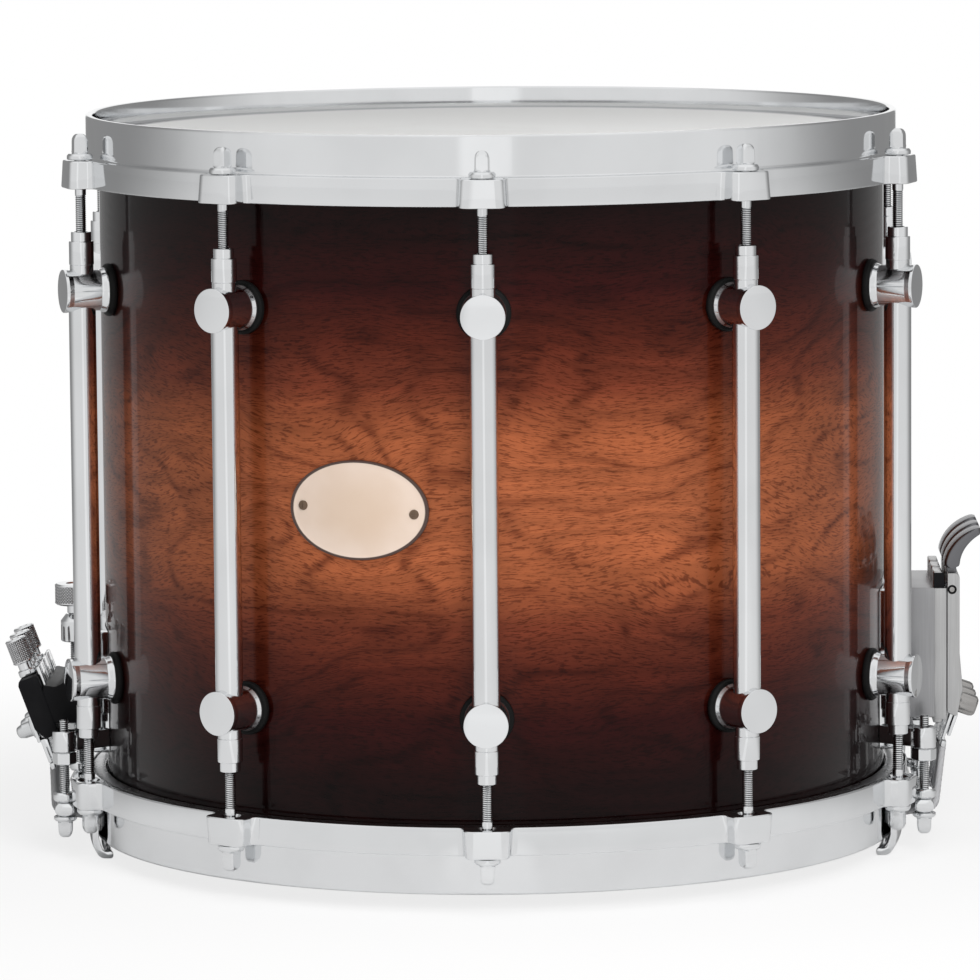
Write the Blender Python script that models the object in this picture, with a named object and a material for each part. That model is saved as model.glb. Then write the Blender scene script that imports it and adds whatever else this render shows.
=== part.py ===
"""Concert snare drum, 14 by 12 inches, with tube lugs, a three-lever strainer and a screw-down butt.

Metres, +Z up. The drum rests on its two snare guards at z = 0, with its axis on the origin.
Azimuth 0 is the front (-Y) and grows toward +X; the strainer is at +90 degrees, the butt at -90.
"""
import math

import bmesh
import bpy
from mathutils import Matrix, Vector

# Running and seating clearances
GAP = 0.0003
BORE_CLEARANCE = 0.0005
FILM_CLEARANCE = 0.00035

# Shell
SHELL_RADIUS = 0.1765
SHELL_HEIGHT = 0.3048
SHELL_WALL = 0.0075
BEARING_ROUND_WIDTH = 0.0029
BEARING_ROUND_HEIGHT = 0.0040
BEARING_BEVEL = 0.0046
SNARE_BED_DEPTH = 0.0018
SNARE_BED_ANGLE = 24.0
VENT_AZIMUTH = 162.0
VENT_BORE_RADIUS = 0.0052
VENT_FLANGE_RADIUS = 0.0090
VENT_WALL = 0.0010

# Heads
FILM_THICKNESS = 0.0004
FLESH_HOOP_WIDTH = 0.00655
FLESH_HOOP_HEIGHT = 0.0093
FILM_BEND_DROP = 0.0026

# Hoops
HOOP_OVERHANG = 0.0103
COLLAR_HEIGHT = 0.0178
COLLAR_WALL = 0.0032
COLLAR_SETBACK = 0.0048
SHELF_THICKNESS = 0.0023
BAND_HEIGHT = 0.0123
BAND_WALL = 0.0032
BAND_CLEARANCE = 0.0004
EAR_WIDTH = 0.0235
EAR_FACE_WIDTH = 0.0205
EAR_BEYOND_ROD = 0.0072
EAR_CORNER = 0.0026

# Lugs and tension rods
LUG_COUNT = 10
ROD_STANDOFF = 0.0028
ROD_RADIUS = 0.0024
ROD_ENGAGEMENT = 0.0210
WASHER_RADIUS = 0.0052
WASHER_THICKNESS = 0.0027
KEY_HEAD_WIDTH = 0.0062
KEY_HEAD_HEIGHT = 0.0088
KEY_SHOULDER_WIDTH = 0.0057
KEY_SHOULDER_DROP = 0.0018
KEY_TIP_WIDTH = 0.0034
TUBE_RADIUS = 0.0060
POST_SPACING = 0.1740
POST_RADIUS = 0.0095
POST_FOOT_RADIUS = 0.0101
POST_WAIST_RADIUS = 0.0080
POST_FOOT_FLARE = 0.0062
POST_FACE_FLARE = 0.0034
POST_BEYOND_ROD = 0.0088
GASKET_RADIUS = 0.01175
GASKET_THICKNESS = 0.0034
RECEIVER_COLLAR_RADIUS = 0.0055
RECEIVER_COLLAR_HEIGHT = 0.0126
RECEIVER_TIP_RADIUS = 0.0045
RECEIVER_TIP_HEIGHT = 0.0041

# Snare gates and guards
GATE_INSIDE_RODS = 0.0100
GATE_SILL = 0.0090
GATE_HEIGHT = 0.0128
GUARD_DROP = 0.0073
GUARD_WALL = 0.0022
GUARD_LIP_DEPTH = 0.0085
GUARD_LIP_CURL = 0.0046
GUARD_SPREAD = 31.2
GUARD_EDGE = 0.0016
GUARD_END_MARGIN = 1.0

# Badge
BADGE_AZIMUTH = -18.0
BADGE_ABOVE_MIDDLE = 0.0020
BADGE_WIDTH = 0.0630
BADGE_HEIGHT = 0.0430
BADGE_THICKNESS = 0.0012
BADGE_RIVET_RADIUS = 0.0022
BADGE_RIVET_INSET = 0.0062
BADGE_RIVET_CROWN = 0.0008
BADGE_COLUMNS = 10
BADGE_END_SHARE = 0.25

# Brackets that carry the bridges
SADDLE_INSIDE_RODS = 0.0090
SADDLE_THICKNESS = 0.0050
YOKE_BOTTOM = 0.0480
YOKE_HEIGHT = 0.0094
YOKE_DEPTH = 0.0125
ARM_RADIUS = 0.0047
LOCK_NUT_RADIUS = 0.0050
LOCK_NUT_HEIGHT = 0.0054

# Bridges and their key rods
BRIDGE_STANDOFF = 0.0060
BRIDGE_ROD_TO_LUG = 0.01565
BRIDGE_BOTTOM = 0.0188
BRIDGE_HEIGHT = 0.0063
BRIDGE_WIDTH = 0.0091
BRIDGE_ROD_RADIUS = 0.0023
BRIDGE_ROD_ABOVE_YOKE = 0.0052
BRIDGE_WASHER_THICKNESS = 0.0022
BRIDGE_HEAD_HEIGHT = 0.0075
BRIDGE_COLLAR_RADIUS = 0.0053
BRIDGE_COLLAR_HEIGHT = 0.0042

# Snares
SNARE_COUNT = 3
SNARE_PITCH = 0.0200
STRANDS_PER_SET = 4
STRAND_PITCH = 0.0036
STRAND_RADIUS = 0.0010
LEAD_TAB_LENGTH = 0.0030
LEAD_TAB_THICKNESS = 0.0024
WRAP_ANGLES = (10.0, 45.0, 80.0)

# Strainer
HOUSING_HEIGHT = 0.0590
HOUSING_DEPTH = 0.0219
HOUSING_SIDE_WALL = 0.0028
HOUSING_ABOVE_YOKE = 0.0019
HOUSING_EDGE = 0.0008
CORE_WIDTH = 0.0144
CORE_THICKNESS = 0.0042
CORE_ABOVE_HOUSING = 0.0070
CORE_BELOW_HOUSING = 0.0028
NECK_WIDTH = 0.0084
CHANNEL_LIP = 0.0015
LEVER_BAR_WIDTH = 0.0170
LEVER_BAR_THICKNESS = 0.0056
LEVER_ABOVE_HOUSING = 0.0063
LEVER_FLARE = 0.0014
LEVER_FLARE_START = 0.0290
LEVER_FLARE_PEAK = 0.0130
LEVER_TOE_SETBACK = 0.0012
LEVER_HEEL_RISE = 0.0020
FORK_WIDTH = 0.0062
PIVOT_BELOW_TOP = 0.0074
PIVOT_DEPTH = 0.0022
PIVOT_PIN_RADIUS = 0.0017
TANG_RADIUS = 0.0034
PADDLE_WIDTH = 0.0160
PADDLE_REACH = 0.01325
PADDLE_RISE = 0.0200
PADDLE_ROOT_THICKNESS = 0.0075
PADDLE_TIP_THICKNESS = 0.0033
PADDLE_TIP_WIDTH = 0.0125
PADDLE_ABOVE_LEVER = 0.0020
PADDLE_SWEEP = 68.0
PADDLE_STEPS = 6
PADDLE_EDGE_SHARE = 0.70
PADDLE_FLAT_SHARE = 0.82
TANG_NECK_WIDTH = 0.0040
CLAMP_PLATE_LENGTH = 0.0115
CLAMP_PLATE_THICKNESS = 0.0036
CLAMP_PLATE_OVERLAP = 0.0023
KEY_BOLT_RADIUS = 0.0049
KEY_BOLT_LENGTH = 0.0090
KEY_BOLT_EDGE = 0.0009
KEY_BOLT_DROOP = 19.0
KEY_BOLT_ABOVE_TOE = 0.0059
BOLT_TIP_SHARE = 0.75
BOLT_SHANK_SHARE = 0.50

# Butt
BUTT_TILT = 20.0
CARRIAGE_MARGIN = 0.0110
CARRIAGE_HEIGHT = 0.0205
CARRIAGE_HOLLOW = 0.0040
CARRIAGE_ABOVE_YOKE = 0.0013
CARRIAGE_DEPTH = 0.0220
CLAMP_BLOCK_LENGTH = 0.0285
CLAMP_BLOCK_THICKNESS = 0.0088
CLAMP_BLOCK_STANDOFF = 0.0127
CLAMP_BLOCK_RISE = 0.00697
BUTT_PLATE_OFFSET = 0.0037
BUTT_PLATE_LAP = 0.0086
BUTT_BOLT_RADIUS = 0.0038
BUTT_BOLT_LENGTH = 0.0070
BUTT_BOLT_DROP = 0.0078
BUTT_BOLT_SINK = 0.0021
CLAMP_BLOCK_EDGE = 0.0010
TENSION_KNOB_RADIUS = 0.00485
TENSION_KNOB_HEIGHT = 0.0116
TENSION_SEAT_RADIUS = 0.0042
TENSION_NECK_RADIUS = 0.0033
TENSION_NECK_HEIGHT = 0.0060
TENSION_SCREW_RADIUS = 0.0019
TENSION_SCREW_LENGTH = 0.0180
UPPER_ARM_BOTTOM = 0.0920
UPPER_ARM_HEIGHT = 0.0093
UPPER_ARM_RADIUS = 0.0075
UPPER_ARM_CONE_RADIUS = 0.0050
UPPER_ARM_CONE_HEIGHT = 0.0032
HEIGHT_KNOB_RADIUS = 0.0100
HEIGHT_KNOB_HEIGHT = 0.0096
HEIGHT_STEM_RADIUS = 0.0045
HEIGHT_STEM_HEIGHT = 0.0040
HEIGHT_SCREW_RADIUS = 0.0034
HEIGHT_SCREW_INSET = 0.0030
HEIGHT_AXIS_STANDOFF = 0.0135
KNOB_EDGE = 0.0005
KNURL_VALLEY = 0.95

# Faces around the round pieces
EASED_EDGE_ANGLE = 30.0
STATIONS_BETWEEN_EARS = 4
ROUND_SIDES = 12
LUG_SIDES = 10
SMALL_SIDES = 8
HEX_SIDES = 6
KNURL_SIDES = 16
STRAND_SIDES = 4

# Levels and radii that follow from the sizes above
RIM_BOTTOM = GUARD_DROP
SHELL_BOTTOM = RIM_BOTTOM + HOOP_OVERHANG
SHELL_TOP = SHELL_BOTTOM + SHELL_HEIGHT
RIM_TOP = SHELL_TOP + HOOP_OVERHANG
MID_HEIGHT = (RIM_BOTTOM + RIM_TOP) / 2
FILM_RADIUS = SHELL_RADIUS + FILM_CLEARANCE
FLESH_RADIUS = FILM_RADIUS + FLESH_HOOP_WIDTH
BAND_INNER_RADIUS = FLESH_RADIUS + BAND_CLEARANCE
BAND_RADIUS = BAND_INNER_RADIUS + BAND_WALL
COLLAR_RADIUS = BAND_RADIUS - COLLAR_SETBACK
ROD_CIRCLE = BAND_RADIUS + ROD_STANDOFF
EAR_RADIUS = ROD_CIRCLE + EAR_BEYOND_ROD
SHELF_DEPTH = COLLAR_HEIGHT + SHELF_THICKNESS
HOOP_HEIGHT = COLLAR_HEIGHT + BAND_HEIGHT
LUG_ANGLE = math.tau / LUG_COUNT
HALF_EAR_ANGLE = math.asin(EAR_WIDTH / 2 / BAND_RADIUS)
RECEIVER_END = POST_SPACING / 2 + POST_RADIUS + RECEIVER_COLLAR_HEIGHT + RECEIVER_TIP_HEIGHT
BRIDGE_X = BAND_RADIUS + BRIDGE_STANDOFF
BRIDGE_ROD_Y = ROD_CIRCLE * math.sin(LUG_ANGLE / 2) - BRIDGE_ROD_TO_LUG
SADDLE_WIDTH = 2 * (BRIDGE_ROD_Y - SADDLE_INSIDE_RODS)
GATE_WIDTH = 2 * (BRIDGE_ROD_Y - GATE_INSIDE_RODS)
SNARE_SPREAD = (SNARE_COUNT - 1) * SNARE_PITCH
HOUSING_WIDTH = SNARE_SPREAD + CORE_WIDTH + 2 * HOUSING_SIDE_WALL
CARRIAGE_WIDTH = SNARE_SPREAD + 2 * CARRIAGE_MARGIN
SADDLE_FACE = SHELL_RADIUS + SADDLE_THICKNESS
YOKE_TOP = YOKE_BOTTOM + YOKE_HEIGHT
HOUSING_BACK = SADDLE_FACE + GAP
HOUSING_FRONT = HOUSING_BACK + HOUSING_DEPTH
HOUSING_BOTTOM = YOKE_TOP + HOUSING_ABOVE_YOKE
HOUSING_TOP = HOUSING_BOTTOM + HOUSING_HEIGHT
SNARE_PLANE = SHELL_BOTTOM - 2 * GAP - FILM_THICKNESS - STRAND_RADIUS
BRIDGE_TOP = BRIDGE_BOTTOM + BRIDGE_HEIGHT
LEVER_TOP = HOUSING_TOP + LEVER_ABOVE_HOUSING
UPPER_ARM_TOP = UPPER_ARM_BOTTOM + UPPER_ARM_HEIGHT
UPPER_ARM_SEAT = UPPER_ARM_TOP + UPPER_ARM_CONE_HEIGHT

# Finishes: base colour, metallic, roughness
CHROME = ((0.78, 0.79, 0.80), 1.0, 0.10)
WALNUT = ((0.085, 0.022, 0.010), 0.0, 0.12)
COATED_FILM = ((0.86, 0.86, 0.84), 0.0, 0.60)
HAZY_FILM = ((0.62, 0.62, 0.60), 0.0, 0.35)
IVORY = ((0.62, 0.54, 0.40), 0.0, 0.30)
BRUSHED_ALUMINIUM = ((0.42, 0.42, 0.43), 1.0, 0.35)
SATIN_STEEL = ((0.55, 0.55, 0.55), 1.0, 0.28)
DARK_SATIN = ((0.22, 0.22, 0.23), 1.0, 0.35)
BLACK_PLASTIC = ((0.015, 0.015, 0.016), 0.0, 0.38)
GREY_CABLE = ((0.33, 0.33, 0.34), 0.2, 0.45)


def clear_scene():
    """Removes whatever the scene holds."""
    for existing in list(bpy.data.objects):
        bpy.data.objects.remove(existing, do_unlink=True)


def finish(name, look):
    """A material from a colour, a metallic value and a roughness."""
    colour, metallic, roughness = look
    material = bpy.data.materials.new(name)
    material.use_nodes = True
    shader = material.node_tree.nodes["Principled BSDF"]
    shader.inputs["Base Color"].default_value = (*colour, 1.0)
    shader.inputs["Metallic"].default_value = metallic
    shader.inputs["Roughness"].default_value = roughness
    return material


def polar(radius, azimuth, height=0.0):
    """A point at a radius and an azimuth in radians, from the front toward +X."""
    return Vector((radius * math.sin(azimuth), -radius * math.cos(azimuth), height))


def even_angles(count):
    """Equal steps right round, with a flat side at azimuth 0."""
    return [math.tau * (step + 0.5) / count for step in range(count)]


def drum_stations():
    """Azimuths shared by every large ring: the two sides of each ear and even steps between the ears."""
    between = LUG_ANGLE - 2 * HALF_EAR_ANGLE
    stations = []
    for lug in range(LUG_COUNT):
        start = lug * LUG_ANGLE + HALF_EAR_ANGLE
        stations += [start + between * step / STATIONS_BETWEEN_EARS for step in range(STATIONS_BETWEEN_EARS + 1)]
    return stations


def flat_radius(radius):
    """How far out the flat side of a large ring lies at a lug."""
    return radius * math.cos(HALF_EAR_ANGLE)


def turned(profile, angles):
    """A solid turned about Z from a closed outline of (radius, height) points."""
    shape = bmesh.new()
    rings = []
    for radius, height in profile:
        if radius == 0.0:
            rings.append([shape.verts.new((0.0, 0.0, height))])
        else:
            rings.append([shape.verts.new(polar(radius, angle, height)) for angle in angles])
    count = len(angles)
    for ring, following in zip(rings, rings[1:] + rings[:1]):
        if len(ring) == 1 and len(following) == 1:
            continue
        for side in range(count):
            after = (side + 1) % count
            corners = [ring[side % len(ring)], ring[after % len(ring)]]
            corners += [following[after % len(following)], following[side % len(following)]]
            shape.faces.new(list(dict.fromkeys(corners)))
    bmesh.ops.recalc_face_normals(shape, faces=shape.faces)
    return shape


def arc_section(profile, angles):
    """A solid swept from a closed outline of (radius, height) points along an arc of the drum."""
    return lofted([[polar(radius, angle, height) for radius, height in profile] for angle in angles])


def lofted(rings):
    """A solid through rings that have as many points each, closed by a flat face at both ends."""
    shape = bmesh.new()
    rows = [[shape.verts.new(point) for point in ring] for ring in rings]
    count = len(rows[0])
    for row, following in zip(rows, rows[1:]):
        for side in range(count):
            after = (side + 1) % count
            shape.faces.new((row[side], row[after], following[after], following[side]))
    shape.faces.new(rows[0])
    shape.faces.new(rows[-1])
    bmesh.ops.recalc_face_normals(shape, faces=shape.faces)
    return shape


def round_ring(radius, height, sides, valley=1.0):
    """Points round Z; every second one is drawn in by valley, for flutes and knurls."""
    ring = []
    for side, angle in enumerate(even_angles(sides)):
        ring.append(polar(radius * (valley if side % 2 else 1.0), angle, height))
    return ring


def square_ring(width, height):
    """Eight points round a square: its corners and the middles of its sides."""
    half = width / 2
    corners = [(-1, -1), (0, -1), (1, -1), (1, 0), (1, 1), (0, 1), (-1, 1), (-1, 0)]
    return [Vector((half * x, half * y, height)) for x, y in corners]


def cylinder(radius, bottom, top, sides=ROUND_SIDES):
    """A plain round bar along Z."""
    return lofted([round_ring(radius, bottom, sides), round_ring(radius, top, sides)])


def block(low, high):
    """A box between two corners."""
    (x0, y0, z0), (x1, y1, z1) = low, high
    base = [(x0, y0), (x1, y0), (x1, y1), (x0, y1)]
    return lofted([[Vector((x, y, z)) for x, y in base] for z in (z0, z1)])


def prism(outline, start, end):
    """An outline of (x, z) points extruded along Y."""
    return lofted([[Vector((x, y, z)) for x, z in outline] for y in (start, end)])


def plate(outline, bottom, top):
    """An outline of (x, y) points extruded along Z."""
    return lofted([[Vector((x, y, z)) for x, y in outline] for z in (bottom, top)])


def moved(shape, matrix):
    """The same solid, placed by a matrix."""
    bmesh.ops.transform(shape, matrix=matrix, verts=shape.verts)
    return shape


def shifted(shape, x=0.0, y=0.0, z=0.0):
    """The same solid, moved along the axes."""
    return moved(shape, Matrix.Translation((x, y, z)))


def eased(shape, width, keep=lambda edge: True):
    """Bevels the sharp edges of a solid that keep accepts."""
    sharp = math.radians(EASED_EDGE_ANGLE)
    edges = [edge for edge in shape.edges if edge.calc_face_angle(0.0) > sharp and keep(edge)]
    bmesh.ops.bevel(shape, geom=edges, offset=width, segments=1, affect="EDGES", clamp_overlap=True)
    return shape


def gathered(shapes):
    """Several separate solids in one mesh, for a cutter with many teeth."""
    together = bmesh.new()
    for shape in shapes:
        scratch = bpy.data.meshes.new("scratch")
        shape.to_mesh(scratch)
        together.from_mesh(scratch)
        bpy.data.meshes.remove(scratch)
        shape.free()
    return together


def as_object(name, shape):
    """An object in the scene from a solid."""
    mesh = bpy.data.meshes.new(name)
    shape.to_mesh(mesh)
    shape.free()
    made = bpy.data.objects.new(name, mesh)
    bpy.context.scene.collection.objects.link(made)
    return made


def combine(base, operand, operation):
    """Joins a solid to an object, or cuts it out, and drops the operand."""
    other = as_object("operand", operand)
    modifier = base.modifiers.new(operation, "BOOLEAN")
    modifier.operation = operation
    modifier.solver = "EXACT"
    modifier.object = other
    graph = bpy.context.evaluated_depsgraph_get()
    result = bpy.data.meshes.new_from_object(base.evaluated_get(graph))
    base.modifiers.clear()
    base.data = result
    bpy.data.objects.remove(other, do_unlink=True)


def node(name, look, solids, cuts=(), origin=(0.0, 0.0, 0.0), smooth=40.0):
    """One named piece: its solids joined, its cuts taken out, its origin on its joint's axis."""
    made = as_object(name, solids[0])
    for solid in solids[1:]:
        combine(made, solid, "UNION")
    for cut in cuts:
        combine(made, cut, "DIFFERENCE")
    made.data.name = name
    made.data.transform(Matrix.Translation(-Vector(origin)))
    made.location = origin
    made.data.materials.clear()
    made.data.materials.append(look)
    made.data.shade_smooth()
    made.data.set_sharp_from_angle(angle=math.radians(smooth))
    return made


def copies(source, names, places):
    """More of the same piece, sharing its mesh; the first name goes to the source itself."""
    made = [source]
    for name in names[1:]:
        twin = source.copy()
        twin.name = name
        bpy.context.scene.collection.objects.link(twin)
        made.append(twin)
    for piece, place in zip(made, places):
        piece.matrix_world = place
    return made


def flipped(height):
    """A level mirrored from the top of the drum to its bottom."""
    return 2 * MID_HEIGHT - height


def build_shell(look):
    """The wood shell: bearing edges at both ends, snare beds and the hole for the vent."""
    inner = SHELL_RADIUS - SHELL_WALL
    peak = SHELL_RADIUS - BEARING_ROUND_WIDTH
    shoulder = SHELL_RADIUS - BEARING_ROUND_WIDTH / 2
    upper = [
        (inner, SHELL_TOP - BEARING_BEVEL),
        (peak, SHELL_TOP),
        (shoulder, SHELL_TOP - BEARING_ROUND_HEIGHT / 4),
        (SHELL_RADIUS, SHELL_TOP - BEARING_ROUND_HEIGHT),
    ]
    lower = [(radius, flipped(height)) for radius, height in reversed(upper)]
    shape = turned(upper + lower, drum_stations())
    cut_snare_beds(shape)
    vent = cylinder(VENT_BORE_RADIUS + VENT_WALL + BORE_CLEARANCE, inner - SHELL_WALL, FLESH_RADIUS, SMALL_SIDES)
    node("shell", look, [shape], [moved(vent, radial_frame(math.radians(VENT_AZIMUTH), MID_HEIGHT))])


def cut_snare_beds(shape):
    """Lifts the lower bearing edge in a shallow dip where the snares cross it."""
    half = math.radians(SNARE_BED_ANGLE)
    for vert in shape.verts:
        if vert.co.z > SHELL_BOTTOM + BEARING_ROUND_HEIGHT / 2:
            continue
        away = abs(abs(math.atan2(vert.co.x, -vert.co.y)) - math.pi / 2)
        if away < half:
            vert.co.z += SNARE_BED_DEPTH * (0.5 + 0.5 * math.cos(math.pi * away / half))


def radial_frame(azimuth, height):
    """Turns a piece made along Z to point outward at an azimuth and a height."""
    level = Matrix.Rotation(math.pi / 2, 4, "X")
    return Matrix.Translation((0, 0, height)) @ Matrix.Rotation(azimuth, 4, "Z") @ level


def build_vent_grommet(look):
    """The eyelet that lines the air vent, rolled over outside and inside the shell."""
    reach = math.radians(VENT_AZIMUTH)
    half_step = (LUG_ANGLE - 2 * HALF_EAR_ANGLE) / STATIONS_BETWEEN_EARS / 2
    outside = SHELL_RADIUS + GAP
    inside = (SHELL_RADIUS - SHELL_WALL) * math.cos(half_step) - GAP
    tube = VENT_BORE_RADIUS + VENT_WALL
    profile = [
        (VENT_BORE_RADIUS, inside - VENT_WALL),
        (VENT_FLANGE_RADIUS, inside - VENT_WALL),
        (VENT_FLANGE_RADIUS, inside),
        (tube, inside),
        (tube, outside),
        (VENT_FLANGE_RADIUS, outside),
        (VENT_FLANGE_RADIUS, outside + VENT_WALL),
        (VENT_BORE_RADIUS, outside + VENT_WALL),
    ]
    eyelet = moved(turned(profile, even_angles(SMALL_SIDES)), radial_frame(reach, MID_HEIGHT))
    node("vent_grommet", look, [eyelet])


def hoop_profile():
    """The section of a hoop as (radius, level) points, for the batter side."""
    inner = COLLAR_RADIUS - COLLAR_WALL
    fillet = SHELF_THICKNESS / 3
    steps = [
        (inner, 0.0),
        (COLLAR_RADIUS - COLLAR_WALL / 4, 0.0),
        (COLLAR_RADIUS, COLLAR_WALL / 4),
        (COLLAR_RADIUS, COLLAR_HEIGHT - SHELF_THICKNESS),
        (COLLAR_RADIUS + 2 * fillet, COLLAR_HEIGHT),
        (BAND_RADIUS, COLLAR_HEIGHT),
        (BAND_RADIUS, HOOP_HEIGHT),
        (BAND_INNER_RADIUS, HOOP_HEIGHT),
        (BAND_INNER_RADIUS, SHELF_DEPTH),
        (inner, SHELF_DEPTH),
    ]
    return [(radius, RIM_TOP - depth) for radius, depth in steps]


def hoop_ring():
    """A hoop for the batter side with an ear drawn out of its band at each lug."""
    shape = turned(hoop_profile(), drum_stations())
    middle = RIM_TOP - COLLAR_HEIGHT - BAND_HEIGHT / 2
    flat_band = flat_radius(BAND_RADIUS)
    ears = []
    for face in shape.faces:
        centre = face.calc_center_median()
        azimuth = math.atan2(centre.x, -centre.y)
        nearest = round(azimuth / LUG_ANGLE) * LUG_ANGLE
        on_band = abs(centre.z - middle) < BAND_HEIGHT / 4 and centre.xy.length > BAND_INNER_RADIUS + BAND_WALL / 2
        if on_band and abs(azimuth - nearest) < HALF_EAR_ANGLE / 4:
            ears.append((face, nearest))
    corners = []
    for face, azimuth in ears:
        drawn = bmesh.ops.extrude_discrete_faces(shape, faces=[face])["faces"][0]
        bmesh.ops.translate(shape, verts=drawn.verts, vec=polar(EAR_RADIUS - flat_band, azimuth))
        narrow_to_face(drawn.verts, azimuth)
        corners += [edge for edge in drawn.edges if abs(edge.verts[0].co.z - edge.verts[1].co.z) > BAND_HEIGHT / 2]
    bmesh.ops.bevel(shape, geom=corners, offset=EAR_CORNER, segments=1, affect="EDGES")
    bmesh.ops.recalc_face_normals(shape, faces=shape.faces)
    return shape


def narrow_to_face(verts, azimuth):
    """Draws the two sides of an ear in to the width of its face."""
    middle = polar(EAR_RADIUS, azimuth)
    for vert in verts:
        along = vert.co.xy - middle.xy
        vert.co.xy = middle.xy + along * EAR_FACE_WIDTH / EAR_WIDTH


def ear_holes():
    """The clearance holes for ten tension rods, as one cutter."""
    top = RIM_TOP - COLLAR_HEIGHT + GAP
    bottom = RIM_TOP - HOOP_HEIGHT - GAP
    holes = []
    for lug in range(LUG_COUNT):
        centre = polar(ROD_CIRCLE, lug * LUG_ANGLE)
        holes.append(shifted(cylinder(ROD_RADIUS + BORE_CLEARANCE, bottom, top, SMALL_SIDES), centre.x, centre.y))
    return gathered(holes)


def upside_down(shape):
    """Turns a batter-side piece over to the snare side; the ears stay on the same lugs."""
    return moved(shape, Matrix.Translation((0, 0, 2 * MID_HEIGHT)) @ Matrix.Rotation(math.pi, 4, "X"))


def build_hoops(look):
    """The batter hoop, and the snare hoop with its gates and its cast-on guards."""
    node("batter_hoop", look, [hoop_ring()], [ear_holes()])
    guards = [guard_strip(side) for side in (-1, 1)]
    gates = []
    for side in (-1, 1):
        near = side * (COLLAR_RADIUS - COLLAR_WALL - HOOP_OVERHANG)
        far = side * (BAND_RADIUS + GUARD_WALL)
        collar_face = side * (COLLAR_RADIUS + COLLAR_SETBACK / 4)
        gate_top = GATE_SILL + GATE_HEIGHT
        gates.append(block_between(near, far, GATE_WIDTH / 2, GATE_SILL, gate_top))
        gates.append(block_between(near, collar_face, GATE_WIDTH / 2, RIM_BOTTOM - GAP, gate_top))
    node("snare_hoop", look, [upside_down(hoop_ring())] + guards, [upside_down(ear_holes())] + gates)


def block_between(x_near, x_far, half_width, bottom, top):
    """A box on either side of the drum, centred on Y."""
    low = (min(x_near, x_far), -half_width, bottom)
    high = (max(x_near, x_far), half_width, top)
    return block(low, high)


def guard_strip(side):
    """A snare guard: a strip that hangs from the band and curls in under the rim."""
    outer = BAND_RADIUS - BAND_WALL / 4
    inner = outer - GUARD_WALL
    lip = outer - GUARD_LIP_DEPTH
    root = RIM_BOTTOM + COLLAR_HEIGHT + BAND_HEIGHT / 2
    profile = [
        (outer, root),
        (outer, GUARD_WALL),
        (outer - GUARD_EDGE, 0.0),
        (lip + GUARD_EDGE, 0.0),
        (lip, GUARD_EDGE),
        (lip, GUARD_LIP_CURL),
        (lip + GUARD_WALL, GUARD_LIP_CURL),
        (lip + GUARD_WALL + GUARD_EDGE / 4, GUARD_WALL),
        (inner - GUARD_EDGE / 2, GUARD_WALL),
        (inner, GUARD_WALL + GUARD_EDGE / 2),
        (inner, root),
    ]
    half = math.radians(GUARD_SPREAD / 2)
    reach = half - math.radians(GUARD_END_MARGIN)
    stations = [angle for angle in drum_stations() if abs(angle - math.pi / 2) < reach]
    azimuths = [math.pi / 2 - half] + stations + [math.pi / 2 + half]
    strip = arc_section(profile, azimuths)
    return moved(strip, Matrix.Rotation(math.pi if side < 0 else 0.0, 4, "Z"))


def head_solid():
    """A head for the batter side: film over the bearing edge, drawn down into its flesh hoop."""
    edge = SHELL_TOP + GAP
    shoulder = SHELL_RADIUS - BEARING_ROUND_WIDTH + FILM_CLEARANCE * 2
    collar = SHELL_TOP - FILM_BEND_DROP
    flesh_top = RIM_TOP - SHELF_DEPTH - GAP
    flesh_bottom = flesh_top - FLESH_HOOP_HEIGHT
    profile = [
        (0.0, edge),
        (shoulder, edge),
        (FILM_RADIUS, collar),
        (FILM_RADIUS, flesh_bottom),
        (FLESH_RADIUS, flesh_bottom),
        (FLESH_RADIUS, flesh_top),
        (FILM_RADIUS + FILM_THICKNESS, flesh_top),
        (FILM_RADIUS + FILM_THICKNESS, collar + FILM_THICKNESS / 2),
        (shoulder + FILM_THICKNESS / 2, edge + FILM_THICKNESS),
        (0.0, edge + FILM_THICKNESS),
    ]
    return turned(profile, drum_stations())


def build_heads(batter_look, snare_look):
    """The two heads."""
    node("batter_head", batter_look, [head_solid()])
    node("snare_head", snare_look, [upside_down(head_solid())])


def lug_tube():
    """The tube of a lug with a stepped receiver at each end and a bore right through."""
    collar_start = POST_SPACING / 2
    collar_end = RECEIVER_END - RECEIVER_TIP_HEIGHT
    upper = [
        (ROD_RADIUS + BORE_CLEARANCE, RECEIVER_END),
        (RECEIVER_TIP_RADIUS, RECEIVER_END),
        (RECEIVER_TIP_RADIUS, collar_end),
        (RECEIVER_COLLAR_RADIUS, collar_end),
        (RECEIVER_COLLAR_RADIUS, collar_start),
        (TUBE_RADIUS, collar_start),
    ]
    profile = upper + [(radius, -height) for radius, height in reversed(upper)]
    return shifted(turned(profile, even_angles(LUG_SIDES)), y=-ROD_CIRCLE)


def lug_post(side):
    """A waisted post with its rubber gasket, standing out from the flat of the shell."""
    seat = flat_radius(SHELL_RADIUS) + GAP
    post_foot = seat + GASKET_THICKNESS
    face = ROD_CIRCLE + POST_BEYOND_ROD
    rings = [
        (GASKET_RADIUS, seat),
        (GASKET_RADIUS, post_foot),
        (POST_FOOT_RADIUS, post_foot + GAP),
        (POST_WAIST_RADIUS, post_foot + POST_FOOT_FLARE),
        (POST_WAIST_RADIUS, face - POST_FACE_FLARE),
        (POST_RADIUS, face),
    ]
    post = lofted([round_ring(radius, height, LUG_SIDES) for radius, height in rings])
    return moved(post, radial_frame(0.0, side * POST_SPACING / 2))


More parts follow.
